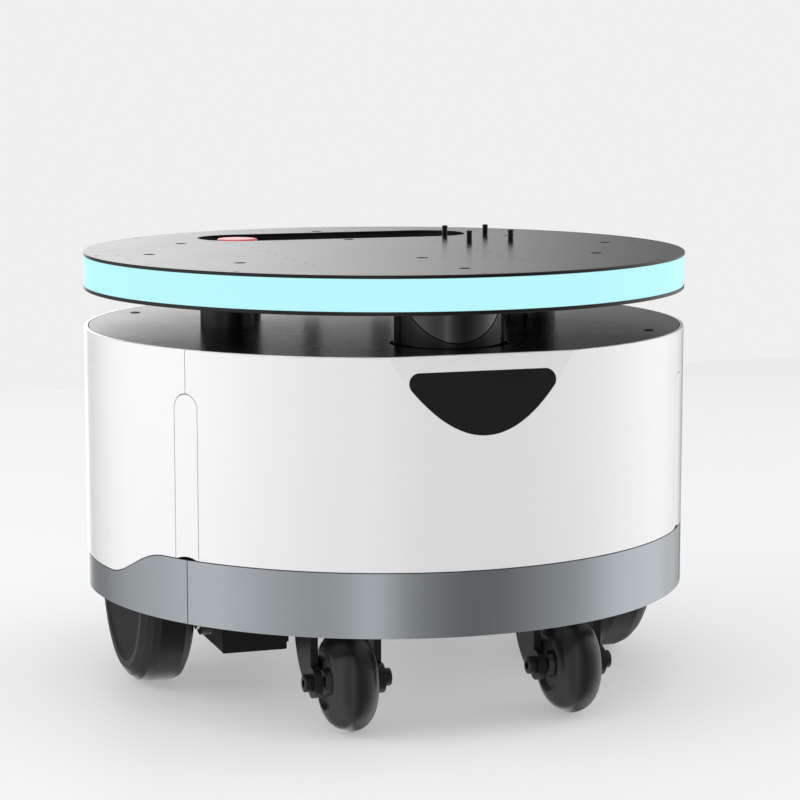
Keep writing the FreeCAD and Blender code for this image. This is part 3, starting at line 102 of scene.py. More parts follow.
def soft_box(name, azimuth, distance, height, width, tall, power):
    """A broad lamp aimed at the drum; its azimuth runs from the front towards +X."""
    turn = math.radians(azimuth)
    data = bpy.data.lights.new(name, "AREA")
    data.shape = "RECTANGLE"
    data.size = width
    data.size_y = tall
    data.energy = power
    lamp = bpy.data.objects.new(name, data)
    lamp.location = (distance * math.sin(turn), -distance * math.cos(turn), height)
    aim = Vector((0.0, 0.0, 0.2)) - lamp.location
    lamp.rotation_euler = aim.to_track_quat("-Z", "Y").to_euler()
    lamp.visible_glossy = False
    bpy.context.scene.collection.objects.link(lamp)


soft_box("soft_box_left", -94.0, 2.6, 1.3, 2.4, 2.4, 35.0)
soft_box("soft_box_right", 88.0, 2.6, 1.2, 2.0, 2.4, 30.0)
soft_box("soft_box_above", 0.0, 0.4, 3.2, 3.0, 3.0, 18.0)

world = bpy.data.worlds.new("studio")
bpy.context.scene.world = world
world.use_nodes = True
sky = world.node_tree.nodes
sky_links = world.node_tree.links
sky.clear()
sky_out = sky.new("ShaderNodeOutputWorld")
seen = sky.new("ShaderNodeBackground")
seen.inputs["Color"].default_value = (0.865, 0.865, 0.865, 1.0)
fill = sky.new("ShaderNodeBackground")
fill.inputs["Color"].default_value = (0.70, 0.70, 0.705, 1.0)
mirrored = sky.new("ShaderNodeBackground")
room_way = sky.new("ShaderNodeTexCoord")
room_turn = sky.new("ShaderNodeMapping")
room_turn.inputs["Rotation"].default_value = (0.0, 0.0, math.radians(90.0))
room_round = sky.new("ShaderNodeTexGradient")
room_round.gradient_type = "RADIAL"
room_shade = sky.new("ShaderNodeValToRGB")
# Brightness of the room as a mirror sees it, by azimuth in degrees from the front
# towards +X: bright at both sides, behind and in a strip by the camera, and dark
# in between, which gives the metal its upright bands.
ROOM = [(-180, 1.50), (-175, 0.60), (-168, 0.28), (-154, 0.26), (-142, 0.44), (-130, 0.62),
        (-106, 0.78), (-92, 0.97), (-82, 0.95), (-66, 0.74), (-46, 0.54), (-34, 0.58),
        (-22, 0.98), (-10, 0.42), (2, 0.24), (14, 0.13), (28, 0.18), (50, 0.42), (62, 0.56),
        (80, 1.02), (98, 1.10), (112, 1.08), (122, 0.76), (136, 0.72), (145, 0.26), (152, 0.16),
        (157, 0.40), (162, 1.02), (167, 1.68), (172, 1.98)]
ROOM_END = 1.95
stops = room_shade.color_ramp.elements
for azimuth, brightness in ROOM:
    place = (azimuth + 180) / 360
    stop = stops[0] if azimuth == -180 else stops.new(place)
    stop.position = place
    stop.color = (brightness, brightness, brightness, 1.0)
stops[-1].color = (ROOM_END, ROOM_END, ROOM_END, 1.0)
sky_links.new(room_way.outputs["Generated"], room_turn.inputs["Vector"])
sky_links.new(room_turn.outputs["Vector"], room_round.inputs["Vector"])
sky_links.new(room_round.outputs["Fac"], room_shade.inputs["Fac"])
sky_links.new(room_shade.outputs["Color"], mirrored.inputs["Color"])
rays = sky.new("ShaderNodeLightPath")
in_mirror = sky.new("ShaderNodeMixShader")
to_eye = sky.new("ShaderNodeMixShader")
sky_links.new(rays.outputs["Is Glossy Ray"], in_mirror.inputs["Fac"])
sky_links.new(fill.outputs["Background"], in_mirror.inputs[1])
sky_links.new(mirrored.outputs["Background"], in_mirror.inputs[2])
sky_links.new(rays.outputs["Is Camera Ray"], to_eye.inputs["Fac"])
sky_links.new(in_mirror.outputs["Shader"], to_eye.inputs[1])
sky_links.new(seen.outputs["Background"], to_eye.inputs[2])
sky_links.new(to_eye.outputs["Shader"], sky_out.inputs["Surface"])
bpy.context.scene.view_settings.view_transform = "Standard"

# ---- base plate -------------------------------------------------------------
# The chassis floor is one 4 mm aluminium plate, milled flat and left bare, with a
# fine straight grain from the sheet mill. Everything below bolts to it.


def finish(name, colour, rough, metal=0.0, specular=0.5, grain=(1.0, 1.0, 1.0), grain_size=900.0,
           depth=0.0002, strength=0.05, drift=0.03, mottle=0.06, wear=0.0, worn=(0.5, 0.5, 0.5)):
    """A surface of one stuff: colour that varies a little, gloss that drifts, fine relief.

    grain stretches the relief along an axis, as brushing does; wear lightens scattered
    patches a little, as handling does.
    """
    material = bpy.data.materials.new(name)
    material.use_nodes = True
    nodes = material.node_tree.nodes
    links = material.node_tree.links
    shader = nodes["Principled BSDF"]
    shader.inputs["Metallic"].default_value = metal
    shader.inputs["Specular IOR Level"].default_value = specular
    place = nodes.new("ShaderNodeTexCoord")
    stretch = nodes.new("ShaderNodeMapping")
    stretch.inputs["Scale"].default_value = grain
    cloud = nodes.new("ShaderNodeTexNoise")
    cloud.inputs["Scale"].default_value = 14.0
    cloud.inputs["Detail"].default_value = 5.0
    gloss = nodes.new("ShaderNodeMapRange")
    gloss.inputs["From Min"].default_value = 0.3
    gloss.inputs["From Max"].default_value = 0.7
    gloss.inputs["To Min"].default_value = rough - drift
    gloss.inputs["To Max"].default_value = rough + drift
    skin = nodes.new("ShaderNodeTexNoise")
    skin.inputs["Scale"].default_value = grain_size
    skin.inputs["Detail"].default_value = 3.0
    tone = nodes.new("ShaderNodeValToRGB")
    tone.color_ramp.elements[0].position = 0.25
    tone.color_ramp.elements[1].position = 0.75
    tone.color_ramp.elements[0].color = (*[c * (1.0 - mottle) for c in colour], 1.0)
    tone.color_ramp.elements[1].color = (*[min(1.0, c * (1.0 + mottle)) for c in colour], 1.0)
    bump = nodes.new("ShaderNodeBump")
    bump.inputs["Strength"].default_value = strength
    bump.inputs["Distance"].default_value = depth
    links.new(place.outputs["Object"], stretch.inputs["Vector"])
    links.new(place.outputs["Object"], cloud.inputs["Vector"])
    links.new(stretch.outputs["Vector"], skin.inputs["Vector"])
    links.new(cloud.outputs["Fac"], gloss.inputs["Value"])
    links.new(gloss.outputs["Result"], shader.inputs["Roughness"])
    links.new(skin.outputs["Fac"], bump.inputs["Height"])
    links.new(bump.outputs["Normal"], shader.inputs["Normal"])
    links.new(cloud.outputs["Fac"], tone.inputs["Fac"])
    if wear:
        rub = nodes.new("ShaderNodeTexNoise")
        rub.inputs["Scale"].default_value = 60.0
        rub.inputs["Detail"].default_value = 8.0
        rub.inputs["Roughness"].default_value = 0.7
        rubbed = nodes.new("ShaderNodeMapRange")
        rubbed.inputs["From Min"].default_value = 0.62
        rubbed.inputs["From Max"].default_value = 0.78
        rubbed.inputs["To Max"].default_value = wear
        blend = nodes.new("ShaderNodeMix")
        blend.data_type = "RGBA"
        blend.inputs["B"].default_value = (*worn, 1.0)
        links.new(place.outputs["Object"], rub.inputs["Vector"])
        links.new(rub.outputs["Fac"], rubbed.inputs["Value"])
        links.new(rubbed.outputs["Result"], blend.inputs["Factor"])
        links.new(tone.outputs["Color"], blend.inputs["A"])
        links.new(blend.outputs["Result"], shader.inputs["Base Color"])
    else:
        links.new(tone.outputs["Color"], shader.inputs["Base Color"])
    return material


def dress(names, material):
    """Give CAD pieces their finish."""
    for name in names:
        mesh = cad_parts[name].data
        mesh.materials.clear()
        mesh.materials.append(material)


mill_aluminium = finish("milled_aluminium", (0.60, 0.61, 0.62), 0.34, metal=1.0,
                        grain=(1.0, 40.0, 1.0), grain_size=120.0, strength=0.12, mottle=0.08)
dress(["base_plate"], mill_aluminium)

# ---- frame posts ------------------------------------------------------------
# Six round aluminium posts, turned on a lathe and tapped at both ends, carry the
# top plate. The turning leaves fine rings round each of them.
turned_aluminium = finish("turned_aluminium", (0.66, 0.67, 0.68), 0.26, metal=1.0,
                          grain=(1.0, 1.0, 30.0), grain_size=160.0, strength=0.10)
dress(["frame_posts"], turned_aluminium)

# ---- drive housings ---------------------------------------------------------
# Folded steel boxes under the base plate hold the drive arms' pivot pins. They
# are powder coated black, with the coat's even, slightly pebbled skin.
housing_coat = finish("black_housing_coat", (0.010, 0.010, 0.010), 0.46, specular=0.35,
                      grain_size=1500.0, strength=0.18, depth=0.0003)
dress(["left_drive_housing", "right_drive_housing"], housing_coat)

# ---- drive arms and pivot pins ----------------------------------------------
# The arms are cast iron painted black, with a rough cast skin. The pins they
# swing on are ground steel.
cast_iron = finish("painted_casting", (0.022, 0.022, 0.022), 0.50, specular=0.4, grain_size=420.0,
                   strength=0.45, depth=0.0005)
ground_steel = finish("ground_steel", (0.58, 0.58, 0.59), 0.24, metal=1.0,
                      grain=(1.0, 30.0, 30.0), grain_size=90.0, strength=0.08)
dress(["left_drive_arm", "right_drive_arm"], cast_iron)
dress(["arm_pivot_pins"], ground_steel)

# ---- drive tyres ------------------------------------------------------------
# Solid rubber moulded on the hub, black and smooth, with the faint sheen of a
# clean mould and a thin bloom of dust in patches.
tyre_rubber = finish("drive_rubber", (0.009, 0.009, 0.009), 0.36, specular=0.30, grain_size=700.0,
                     strength=0.12, depth=0.0003, drift=0.05, mottle=0.15, wear=0.10,
                     worn=(0.045, 0.044, 0.042))
dress(["left_drive_tyre", "right_drive_tyre"], tyre_rubber)

# ---- drive hubs -------------------------------------------------------------
# The hub motor's case is cast aluminium under satin black paint, pressed into
# the tyre. Its axle is a ground steel shaft fixed in the arm.
hub_paint = finish("hub_paint", (0.008, 0.008, 0.008), 0.52, specular=0.18, grain_size=500.0,
                   strength=0.15)
dress(["left_drive_hub", "right_drive_hub"], hub_paint)
dress(["left_drive_axle", "right_drive_axle"], ground_steel)

# ---- caster plates and forks ------------------------------------------------
# Pressed steel, electro-coated black: a mounting plate with a ball race under
# it, and a fork whose two legs hold the wheel behind the pin it turns on.
fork_coat = finish("black_fork_coat", (0.012, 0.012, 0.012), 0.36, specular=0.42,
                   grain_size=1100.0, strength=0.12, wear=0.12, worn=(0.05, 0.05, 0.05))
CASTERS = ("front_left", "front_right", "rear_left", "rear_right")
dress([name + "_caster_fork" for name in CASTERS] + ["caster_plates"], fork_coat)

# ---- caster wheels ----------------------------------------------------------
# One-piece wheels of hard black rubber with a full round tread, moulded with a
# shallow web. They shine more than the drive tyres.
caster_rubber = finish("caster_rubber", (0.012, 0.012, 0.012), 0.30, specular=0.5,
                       grain_size=600.0, strength=0.06, drift=0.04, mottle=0.15, wear=0.06,
                       worn=(0.04, 0.04, 0.038))
dress([name + "_caster_wheel" for name in CASTERS], caster_rubber)

# ---- caster axles -----------------------------------------------------------
# Each axle is a black shoulder bolt with a nut of the same size, and both ends
# have a hexagon socket sunk into a rounded head.
dark_steel = finish("blackened_steel", (0.050, 0.050, 0.052), 0.34, metal=0.9, grain_size=900.0,
                    strength=0.08, mottle=0.15, wear=0.25, worn=(0.20, 0.20, 0.20))


def start_afresh():
    """Nothing selected, so that the next operator acts on the new piece only."""
    if bpy.context.object and bpy.context.object.mode == "EDIT":
        bpy.ops.object.mode_set(mode="OBJECT")
    bpy.ops.object.select_all(action="DESELECT")


def placed():
    """The piece just added, its place kept in its mesh."""
    bpy.ops.object.transform_apply(location=True, rotation=True, scale=True)
    return bpy.context.object


def cylinder(radius, rise, middle, sides):
    """A plain cylinder along Z."""
    start_afresh()
    bpy.ops.mesh.primitive_cylinder_add(vertices=sides, radius=radius, depth=rise,
                                        location=(0.0, 0.0, middle))
    return placed()


def cone(low_radius, high_radius, rise, middle, sides):
    """A cone with its point cut off, along Z."""
    start_afresh()
    bpy.ops.mesh.primitive_cone_add(vertices=sides, radius1=low_radius, radius2=high_radius,
                                    depth=rise, location=(0.0, 0.0, middle))
    return placed()


def turned(name, radius, rise, round_off, sides=40):
    """A short bar standing on the origin, its top edge rounded over."""
    bar = cylinder(radius, rise, rise / 2, sides)
    bar.name = name
    bpy.ops.object.mode_set(mode="EDIT")
    bpy.ops.mesh.select_all(action="DESELECT")
    bpy.ops.object.mode_set(mode="OBJECT")
    for edge in bar.data.edges:
        edge.select = all(bar.data.vertices[k].co.z > rise - 1e-6 for k in edge.vertices)
    bpy.ops.object.mode_set(mode="EDIT")
    bpy.ops.mesh.select_mode(type="EDGE")
    bpy.ops.mesh.bevel(offset=round_off, segments=3, affect="EDGES")
    bpy.ops.object.mode_set(mode="OBJECT")
    return bar


def cut_away(piece, cutter):
    """Cut one modelled form out of a piece, and drop the cutter."""
    start_afresh()
    piece.select_set(True)
    bpy.context.view_layer.objects.active = piece
    cut = piece.modifiers.new("cut", "BOOLEAN")
    cut.operation = "DIFFERENCE"
    cut.object = cutter
    bpy.ops.object.modifier_apply(modifier=cut.name)
    bpy.data.objects.remove(cutter)


def sunk(piece, sides, radius, depth, top):
    """Press a socket with flat sides into a piece's top."""
    cut_away(piece, cylinder(radius, 2 * depth, top, sides))
    return piece


def top_face_open(piece):
    """Put a piece in edit mode with only its top face selected."""
    start_afresh()
    piece.select_set(True)
    bpy.context.view_layer.objects.active = piece
    bpy.ops.object.mode_set(mode="EDIT")
    bpy.ops.mesh.select_mode(type="FACE")
    bpy.ops.mesh.select_all(action="DESELECT")
    bpy.ops.object.mode_set(mode="OBJECT")
    for face in piece.data.polygons:
        face.select = face.normal.z > 0.99
    bpy.ops.object.mode_set(mode="EDIT")


def settle(piece, name, at, body, material, turn=None, stands_for=()):
    """A copy of a modelled piece, put in its place and fixed to its body."""
    copy = piece.copy()
    copy.data = piece.data.copy()
    copy.name = name
    copy.data.name = name
    bpy.context.scene.collection.objects.link(copy)
    start_afresh()
    copy.select_set(True)
    bpy.context.view_layer.objects.active = copy
    if turn:
        copy.rotation_euler = turn
    copy.location = at
    bpy.ops.object.transform_apply(location=True, rotation=True, scale=True)
    bpy.ops.object.shade_smooth_by_angle(angle=math.radians(35))
    copy.data.materials.clear()
    copy.data.materials.append(material)
    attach(copy, body)
    if stands_for:
        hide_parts(*stands_for)


def throw_away(piece):
    """The first of a set of copies isn't itself on the object."""
    bpy.data.objects.remove(piece)


AXLE_END_RISE, AXLE_END_ROUND = 0.0060, 0.0010
AXLE_SOCKET_DEPTH, AXLE_RADIUS = 0.0030, 0.0040
SHANK_IN_HEAD, SHANK_ROUND = 0.0005, 0.0002
for name in CASTERS:
    low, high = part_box(name + "_caster_axle")
    middle = (low + high) / 2
    radius = (high.z - low.z) / 2
    end = turned("axle_end", radius, AXLE_END_RISE, AXLE_END_ROUND)
    sunk(end, 6, 0.5 * radius, AXLE_SOCKET_DEPTH, AXLE_END_RISE)
    shank_low = low.x + AXLE_END_RISE - SHANK_IN_HEAD
    shank_high = high.x - AXLE_END_RISE + SHANK_IN_HEAD
    shank = turned("axle_shank", AXLE_RADIUS, shank_high - shank_low, SHANK_ROUND)
    for piece, x, turn, word in ((end, high.x - AXLE_END_RISE, math.pi / 2, "nut"),
                                 (end, low.x + AXLE_END_RISE, -math.pi / 2, "head"),
                                 (shank, shank_low, math.pi / 2, "shank")):
        settle(piece, "%s_axle_%s" % (name, word), (x, middle.y, middle.z), name + "_swivel",
               dark_steel, (0.0, turn, 0.0), [name + "_caster_axle"])
    throw_away(end)
    throw_away(shank)

# ---- drive springs ----------------------------------------------------------
# Each spring is wound from round wire, with its end coils closed. It sits between
# the chassis and the arm, which press it as the arm rises; here it is one rigid piece, fixed to no
# body.
spring_wire = finish("oiled_spring_wire", (0.26, 0.26, 0.27), 0.32, metal=1.0, mottle=0.2,
                     strength=0.1)
WIRE_RADIUS, CLOSED_PITCH, OPEN_TURNS = 0.0015, 0.0031, 3
WIRE_SIDES, COIL_STEPS, WELD = 14, 48, 0.00002
for side in ("left", "right"):
    low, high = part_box(side + "_drive_spring")
    middle = (low + high) / 2
    coil_radius = (high.x - low.x) / 2 - WIRE_RADIUS
    open_rise = high.z - low.z - 2 * WIRE_RADIUS - 2 * CLOSED_PITCH
    at, coils = low.z + WIRE_RADIUS, []
    for turns, pitch in ((1, CLOSED_PITCH), (OPEN_TURNS, open_rise / OPEN_TURNS),
                         (1, CLOSED_PITCH)):
        start_afresh()
        bpy.ops.mesh.primitive_circle_add(vertices=WIRE_SIDES, radius=WIRE_RADIUS,
                                          location=(coil_radius, 0.0, at),
                                          rotation=(math.pi / 2, 0.0, 0.0))
        coil = placed()
        winding = coil.modifiers.new("winding", "SCREW")
        winding.axis = "Z"
        winding.angle = 2 * math.pi
        winding.screw_offset = pitch
        winding.iterations = turns
        winding.steps = winding.render_steps = COIL_STEPS
        bpy.ops.object.modifier_apply(modifier=winding.name)
        coils.append(coil)
        at += turns * pitch
    start_afresh()
    for coil in coils:
        coil.select_set(True)
    bpy.context.view_layer.objects.active = coils[0]
    bpy.ops.object.join()
    spring = bpy.context.object
    spring.name = spring.data.name = side + "_compression_spring"
    bpy.ops.object.mode_set(mode="EDIT")
    bpy.ops.mesh.select_all(action="SELECT")
    bpy.ops.mesh.remove_doubles(threshold=WELD)
    bpy.ops.mesh.fill_holes(sides=WIRE_SIDES)
    bpy.ops.mesh.normals_make_consistent(inside=False)
    bpy.ops.object.mode_set(mode="OBJECT")
    spring.location = (middle.x, middle.y, 0.0)
    placed()
    bpy.ops.object.shade_smooth_by_angle(angle=math.radians(35))
    spring.data.materials.append(spring_wire)
    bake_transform(spring)
    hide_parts(side + "_drive_spring")

# ---- battery pack and control box -------------------------------------------
# The battery is a block in a dark moulded case. The control box is an extruded
# finned case, anodised black, that cools the drivers in it.
battery_case = finish("battery_case", (0.030, 0.032, 0.036), 0.45, grain_size=300.0,
                      strength=0.2, depth=0.0004)
fin_anodising = finish("black_anodising", (0.028, 0.028, 0.030), 0.33, metal=0.6,
                       grain=(1.0, 30.0, 1.0), grain_size=120.0, strength=0.08)
dress(["battery_pack"], battery_case)
dress(["control_box"], fin_anodising)

# ---- white shells and side panels -------------------------------------------
# Front and rear shell and the two lift-off panels are bent sheet, stove enamelled
# in a bright satin white. The enamel has a very fine, soft orange peel.
white_enamel = finish("white_enamel", (0.885, 0.885, 0.89), 0.22, specular=0.45,
                      grain_size=900.0, strength=0.015, drift=0.02, mottle=0.006)
white_shader = white_enamel.node_tree.nodes["Principled BSDF"]
white_shader.inputs["Coat Weight"].default_value = 0.7
white_shader.inputs["Coat Roughness"].default_value = 0.12
dress(["front_shell", "rear_shell", "left_side_panel", "right_side_panel"], white_enamel)

# ---- grey skirts ------------------------------------------------------------
# The skirts are the same bent sheet in a grey metallic enamel, whose flakes give
# the soft upright bands of light that run round the drum.
skirt_enamel = finish("grey_metallic_enamel", (0.42, 0.455, 0.475), 0.21, metal=0.85,
                      grain_size=2600.0, strength=0.05, drift=0.015, mottle=0.01)
dress(["front_skirt", "rear_skirt"], skirt_enamel)

# ---- sensor window and depth camera -----------------------------------------
# A dark tinted acrylic pane sits flush in the facet. The camera module behind it
# is a black moulded case with four small lenses.
window_acrylic = finish("tinted_acrylic", (0.012, 0.012, 0.012), 0.20, specular=0.35,
                        strength=0.0, drift=0.01, mottle=0.1)
dress(["sensor_window"], window_acrylic)
black_moulding = finish("black_moulding", (0.016, 0.016, 0.016), 0.42, grain_size=800.0,
                        strength=0.12)
dress(["depth_camera", "charging_block"], black_moulding)

# ---- charging contacts ------------------------------------------------------
# Two brass strips in a moulded block at the back meet the dock's sprung pins,
# which leave fine upright scratches on them.
contact_brass = finish("contact_brass", (0.72, 0.54, 0.26), 0.25, metal=1.0,
                       grain=(30.0, 1.0, 1.0), grain_size=100.0, strength=0.12, mottle=0.12)
dress(["charging_contacts"], contact_brass)

# ---- rangefinder ------------------------------------------------------------
# A black can with a slanted glossy window in front. The rotor inside turns on a
# spindle and carries the laser and its receiver.
lidar_gloss = finish("lidar_case_gloss", (0.004, 0.004, 0.004), 0.16, specular=0.5,
                     grain_size=500.0, strength=0.02, drift=0.01)
lidar_glass = finish("lidar_glass", (0.0006, 0.0006, 0.0006), 0.03, specular=0.9, strength=0.0,
                     drift=0.005, mottle=0.05)
rotor_anodising = finish("rotor_anodising", (0.20, 0.20, 0.21), 0.3, metal=0.9,
                         grain=(1.0, 1.0, 30.0), grain_size=150.0, strength=0.1)
dress(["lidar_case"], lidar_gloss)
dress(["lidar_window"], lidar_glass)
dress(["lidar_rotor"], rotor_anodising)

# ---- body top plate ---------------------------------------------------------
# A sheet plate in satin black powder coat, with its fine even grain, closes the
# drum inside the shells' rim.
plate_coat = finish("black_plate_coat", (0.012, 0.012, 0.012), 0.27, specular=0.5,
                    grain_size=1700.0, strength=0.03, depth=0.0001, drift=0.01, mottle=0.10)
dress(["body_top_plate"], plate_coat)

# ---- top plate screws -------------------------------------------------------
# Four low button-head screws with hexagon sockets hold the top plate down. They
# are blackened like the other small hardware.
low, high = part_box("top_plate_screws")
HEAD_RADIUS, HEAD_RISE, HEAD_ROUND = 0.0042, 0.0006, 0.0003
HEAD_SOCKET_RADIUS, HEAD_SOCKET_DEPTH = 0.0024, 0.0004
top_screw = turned("top_screw", HEAD_RADIUS, HEAD_RISE, HEAD_ROUND)
sunk(top_screw, 6, HEAD_SOCKET_RADIUS, HEAD_SOCKET_DEPTH, HEAD_RISE)
for step, (x, y) in enumerate([(a, b) for a in (low.x, high.x) for b in (low.y, high.y)]):
    x -= math.copysign(HEAD_RADIUS, x)
    y -= math.copysign(HEAD_RADIUS, y)
    settle(top_screw, "top_plate_screw_%d" % (step + 1), (x, y, low.z), "chassis",
           dark_steel, stands_for=["top_plate_screws"])
throw_away(top_screw)

# ---- deck pillars -----------------------------------------------------------
# Four round bars of black anodised aluminium stand on the drum's top, over four
# of its posts, and carry the deck.
pillar_anodising = finish("pillar_anodising", (0.012, 0.012, 0.013), 0.24, specular=0.6,
                          grain=(1.0, 1.0, 25.0), grain_size=150.0, strength=0.05)
dress(["deck_pillars"], pillar_anodising)

# ---- payload deck plates ----------------------------------------------------
# Two sheet plates lie either side of the light ring, coated black like the
# drum's top but baked a little glossier.
deck_coat = finish("black_deck_coat", (0.005, 0.005, 0.005), 0.25, specular=0.4,
                   grain_size=1700.0, strength=0.03, depth=0.0001, drift=0.006, mottle=0.10)
dress(["deck_lower_plate", "deck_top_plate"], deck_coat)

# ---- light ring -------------------------------------------------------------
# A ring of frosted acrylic, lit evenly from within in pale cyan by lamps on the
# aluminium carrier behind it.
band = finish("lit_band", (0.02, 0.035, 0.04), 0.40, specular=0.1, grain_size=800.0,
              strength=0.02)
band_shader = band.node_tree.nodes["Principled BSDF"]
band_shader.inputs["Emission Color"].default_value = (0.49, 0.93, 1.0, 1.0)
band_shader.inputs["Emission Strength"].default_value = 0.97
dress(["light_diffuser"], band)
dress(["light_carrier_ring"], mill_aluminium)

# ---- deck inserts -----------------------------------------------------------
# Ten steel sleeves with an M8 thread are pressed in flush with the deck. Each has
# a countersunk mouth, and its bore is grooved to stand for the thread.
sleeve_steel = finish("blackened_sleeve", (0.008, 0.008, 0.008), 0.55, specular=0.12,
                      grain_size=900.0, strength=0.1, wear=0.2, worn=(0.06, 0.06, 0.06))
low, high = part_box("deck_inserts")
INSERT_RADIUS, BORE_RADIUS, MOUTH_RADIUS, INSERT_SIDES = 0.0050, 0.0034, 0.0048, 36
GROOVES, GROOVE_PITCH, GROOVE_RISE, FIRST_GROOVE = 9, 0.00125, 0.0007, 0.0006
GROOVE_DEPTH, GROOVE_SHORT = 0.0004, 0.0001
MOUTH_RISE, MOUTH_MIDDLE, BORE_PAST = 0.0016, 0.0007, 0.001
insert_long = high.z - low.z
insert = cylinder(INSERT_RADIUS, insert_long, insert_long / 2, INSERT_SIDES)
for level in range(GROOVES):
    cut_away(insert, cone(BORE_RADIUS - GROOVE_SHORT, BORE_RADIUS + GROOVE_DEPTH, GROOVE_RISE,
                          insert_long - FIRST_GROOVE - level * GROOVE_PITCH, INSERT_SIDES))
sunk(insert, INSERT_SIDES, BORE_RADIUS, insert_long + BORE_PAST, insert_long)
cut_away(insert, cone(BORE_RADIUS, MOUTH_RADIUS, MOUTH_RISE, insert_long - MOUTH_MIDDLE,
                      INSERT_SIDES))
INSERTS = [(0.20, 0.0), (-0.20, 0.0), (0.0, 0.20), (0.0, -0.20), (0.0, 0.10), (0.0, -0.10),
           (0.15, 0.10), (0.15, -0.10), (-0.15, 0.10), (-0.15, -0.10)]
for step, (x, y) in enumerate(INSERTS):
    settle(insert, "deck_insert_%d" % (step + 1), (x, y, low.z), "chassis",
           sleeve_steel, stands_for=["deck_inserts"])
throw_away(insert)

# ---- deck rim screws --------------------------------------------------------
# Eight small socket screws, flush with the deck, clamp the plate to the carrier
# ring behind the light.


def grown(name, radius, rise, steps, sides=24):
    """A bar standing on the origin, grown upwards by (radius, rise) steps."""
    bar = cylinder(radius, rise, rise / 2, sides)
    bar.name = name
    top_face_open(bar)
    for wide, up in steps:
        bpy.ops.mesh.extrude_region_move(TRANSFORM_OT_translate={"value": (0.0, 0.0, up)})
        bpy.ops.transform.resize(value=(wide / radius, wide / radius, 1.0),
                                 center_override=(0.0, 0.0, 0.0))
        radius = wide
    bpy.ops.object.mode_set(mode="OBJECT")
    return bar


low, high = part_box("deck_screws")
RIM_SHANK, RIM_SHANK_RISE, RIM_HEAD, RIM_HEAD_RISE = 0.0015, 0.0100, 0.0025, 0.0024
RIM_TOP, RIM_BEVEL, RIM_SOCKET, RIM_SOCKET_DEPTH = 0.0022, 0.0003, 0.0013, 0.0014
screw_ring = high.x - RIM_HEAD
rim_screw = grown("rim_screw", RIM_SHANK, RIM_SHANK_RISE,
                  [(RIM_HEAD, 0.0), (RIM_HEAD, RIM_HEAD_RISE), (RIM_TOP, RIM_BEVEL)])
sunk(rim_screw, 6, RIM_SOCKET, RIM_SOCKET_DEPTH, RIM_SHANK_RISE + RIM_HEAD_RISE + RIM_BEVEL)
for step in range(8):
    turn = math.radians(45 * step)
    settle(rim_screw, "rim_screw_%d" % (step + 1),
           (screw_ring * math.sin(turn), -screw_ring * math.cos(turn), low.z), "chassis",
           dark_steel, stands_for=["deck_screws"])
throw_away(rim_screw)

# ---- payload studs ----------------------------------------------------------
# Four blackened M5 studs, pressed into the plate from below, stand up through the
# deck with their thread bare.
low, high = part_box("payload_studs")
THREAD_RADIUS, THREAD_ROOT, THREAD_PITCH, THREADS = 0.0025, 0.0021, 0.0008, 11
STUD_HEAD, STUD_HEAD_RISE, STUD_COLLAR, STUD_COLLAR_RISE = 0.0040, 0.0015, 0.0032, 0.0027
STUD_TIP, STUD_TIP_BEVEL, STUD_END_RISE = 0.0020, 0.0004, 0.0008
steps = [(STUD_HEAD, 0.0), (STUD_COLLAR, 0.0), (STUD_COLLAR, STUD_COLLAR_RISE),
         (THREAD_RADIUS, 0.0)]
steps += THREADS * [(THREAD_ROOT, THREAD_PITCH / 2), (THREAD_RADIUS, THREAD_PITCH / 2)]
steps += [(THREAD_RADIUS, STUD_END_RISE), (STUD_TIP, STUD_TIP_BEVEL)]
stud = grown("payload_stud", STUD_HEAD, STUD_HEAD_RISE, steps)
for step, (x, y) in enumerate([(a, b) for a in (low.x, high.x) for b in (low.y, high.y)]):
    x -= math.copysign(STUD_HEAD, x - (low.x + high.x) / 2)
    y -= math.copysign(STUD_HEAD, y - (low.y + high.y) / 2)
    settle(stud, "payload_stud_%d" % (step + 1), (x, y, low.z), "chassis",
           dark_steel, stands_for=["payload_studs"])
throw_away(stud)

# ---- control tray -----------------------------------------------------------
# A pressed steel tray hangs under the deck's slot. It is coated like the drum's
# top plate.
dress(["control_tray"], plate_coat)

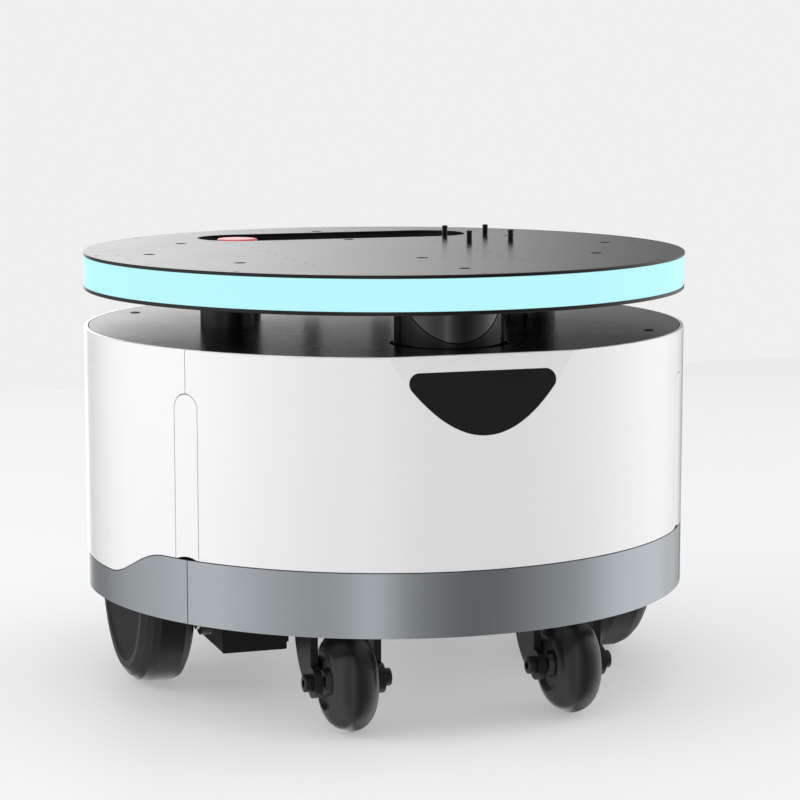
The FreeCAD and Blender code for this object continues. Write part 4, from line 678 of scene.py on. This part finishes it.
# ---- emergency stop ---------------------------------------------------------
# A bright red mushroom head, moulded in glossy plastic, on a black plunger. Its
# black collar stands in the tray and its contact block hangs below.
stop_red = finish("stop_red", (0.60, 0.012, 0.018), 0.20, specular=0.55, grain_size=400.0,
                  strength=0.02, drift=0.03, mottle=0.04)
low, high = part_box("emergency_stop_button")
NECK_RADIUS, NECK_DEPTH, SHOULDER_RADIUS, SHOULDER_DEPTH = 0.00405, 0.0073, 0.0068, 0.0043
CROWN_STEP, CROWN_RISES, HEAD_EDGE = 0.0050, (0.0003, 0.0001), 0.0020
RIM_BELOW_TOP = 0.0008
stop_head = turned("stop_head_form", (high.x - low.x) / 2, high.z - low.z - RIM_BELOW_TOP,
                   HEAD_EDGE, sides=96)
top_face_open(stop_head)
for crown_rise in CROWN_RISES:
    bpy.ops.mesh.inset(thickness=CROWN_STEP)
    bpy.ops.transform.translate(value=(0.0, 0.0, crown_rise))
bpy.ops.object.mode_set(mode="OBJECT")
sunk(stop_head, 48, NECK_RADIUS, NECK_DEPTH, 0.0)
sunk(stop_head, 48, SHOULDER_RADIUS, SHOULDER_DEPTH, 0.0)
settle(stop_head, "stop_mushroom", ((low.x + high.x) / 2, (low.y + high.y) / 2, low.z),
       "stop_head", stop_red, stands_for=["emergency_stop_button"])
throw_away(stop_head)
dress(["emergency_stop_housing", "emergency_stop_plunger"], black_moulding)

# ---- power button -----------------------------------------------------------
# A brushed steel button in a plated bezel, in the middle of the tray. Its cap is
# brushed one way, and the bezel is bright.
bezel_plating = finish("bezel_plating", (0.72, 0.73, 0.74), 0.12, metal=1.0, strength=0.02)
button_steel = finish("brushed_button", (0.58, 0.58, 0.59), 0.30, metal=1.0,
                      grain=(40.0, 1.0, 1.0), grain_size=160.0, strength=0.12)
dress(["power_button_bezel"], bezel_plating)
dress(["power_button"], button_steel)

# ---- payload sockets --------------------------------------------------------
# Two round black sockets for a payload's power and data, each with five plated
# pins in its well.
dress(["payload_sockets"], black_moulding)
low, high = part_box("payload_sockets")
middle = (low + high) / 2
PINS, PIN_RING, PIN_RADIUS, PIN_RISE, PIN_ROUND = 5, 0.0036, 0.0006, 0.0050, 0.0003
SOCKET_GAP, WELL_DEPTH = 0.034, 0.0100
pin = turned("socket_pin", PIN_RADIUS, PIN_RISE, PIN_ROUND, sides=16)
for spot, way in (("inner", -1), ("outer", 1)):
    centre = middle.x + way * SOCKET_GAP / 2
    for step in range(PINS):
        turn = math.radians(360 / PINS * step + 18)
        settle(pin, "socket_%s_pin_%d" % (spot, step + 1),
               (centre + PIN_RING * math.cos(turn), middle.y + PIN_RING * math.sin(turn),
                high.z - WELL_DEPTH), "chassis", contact_brass)
throw_away(pin)
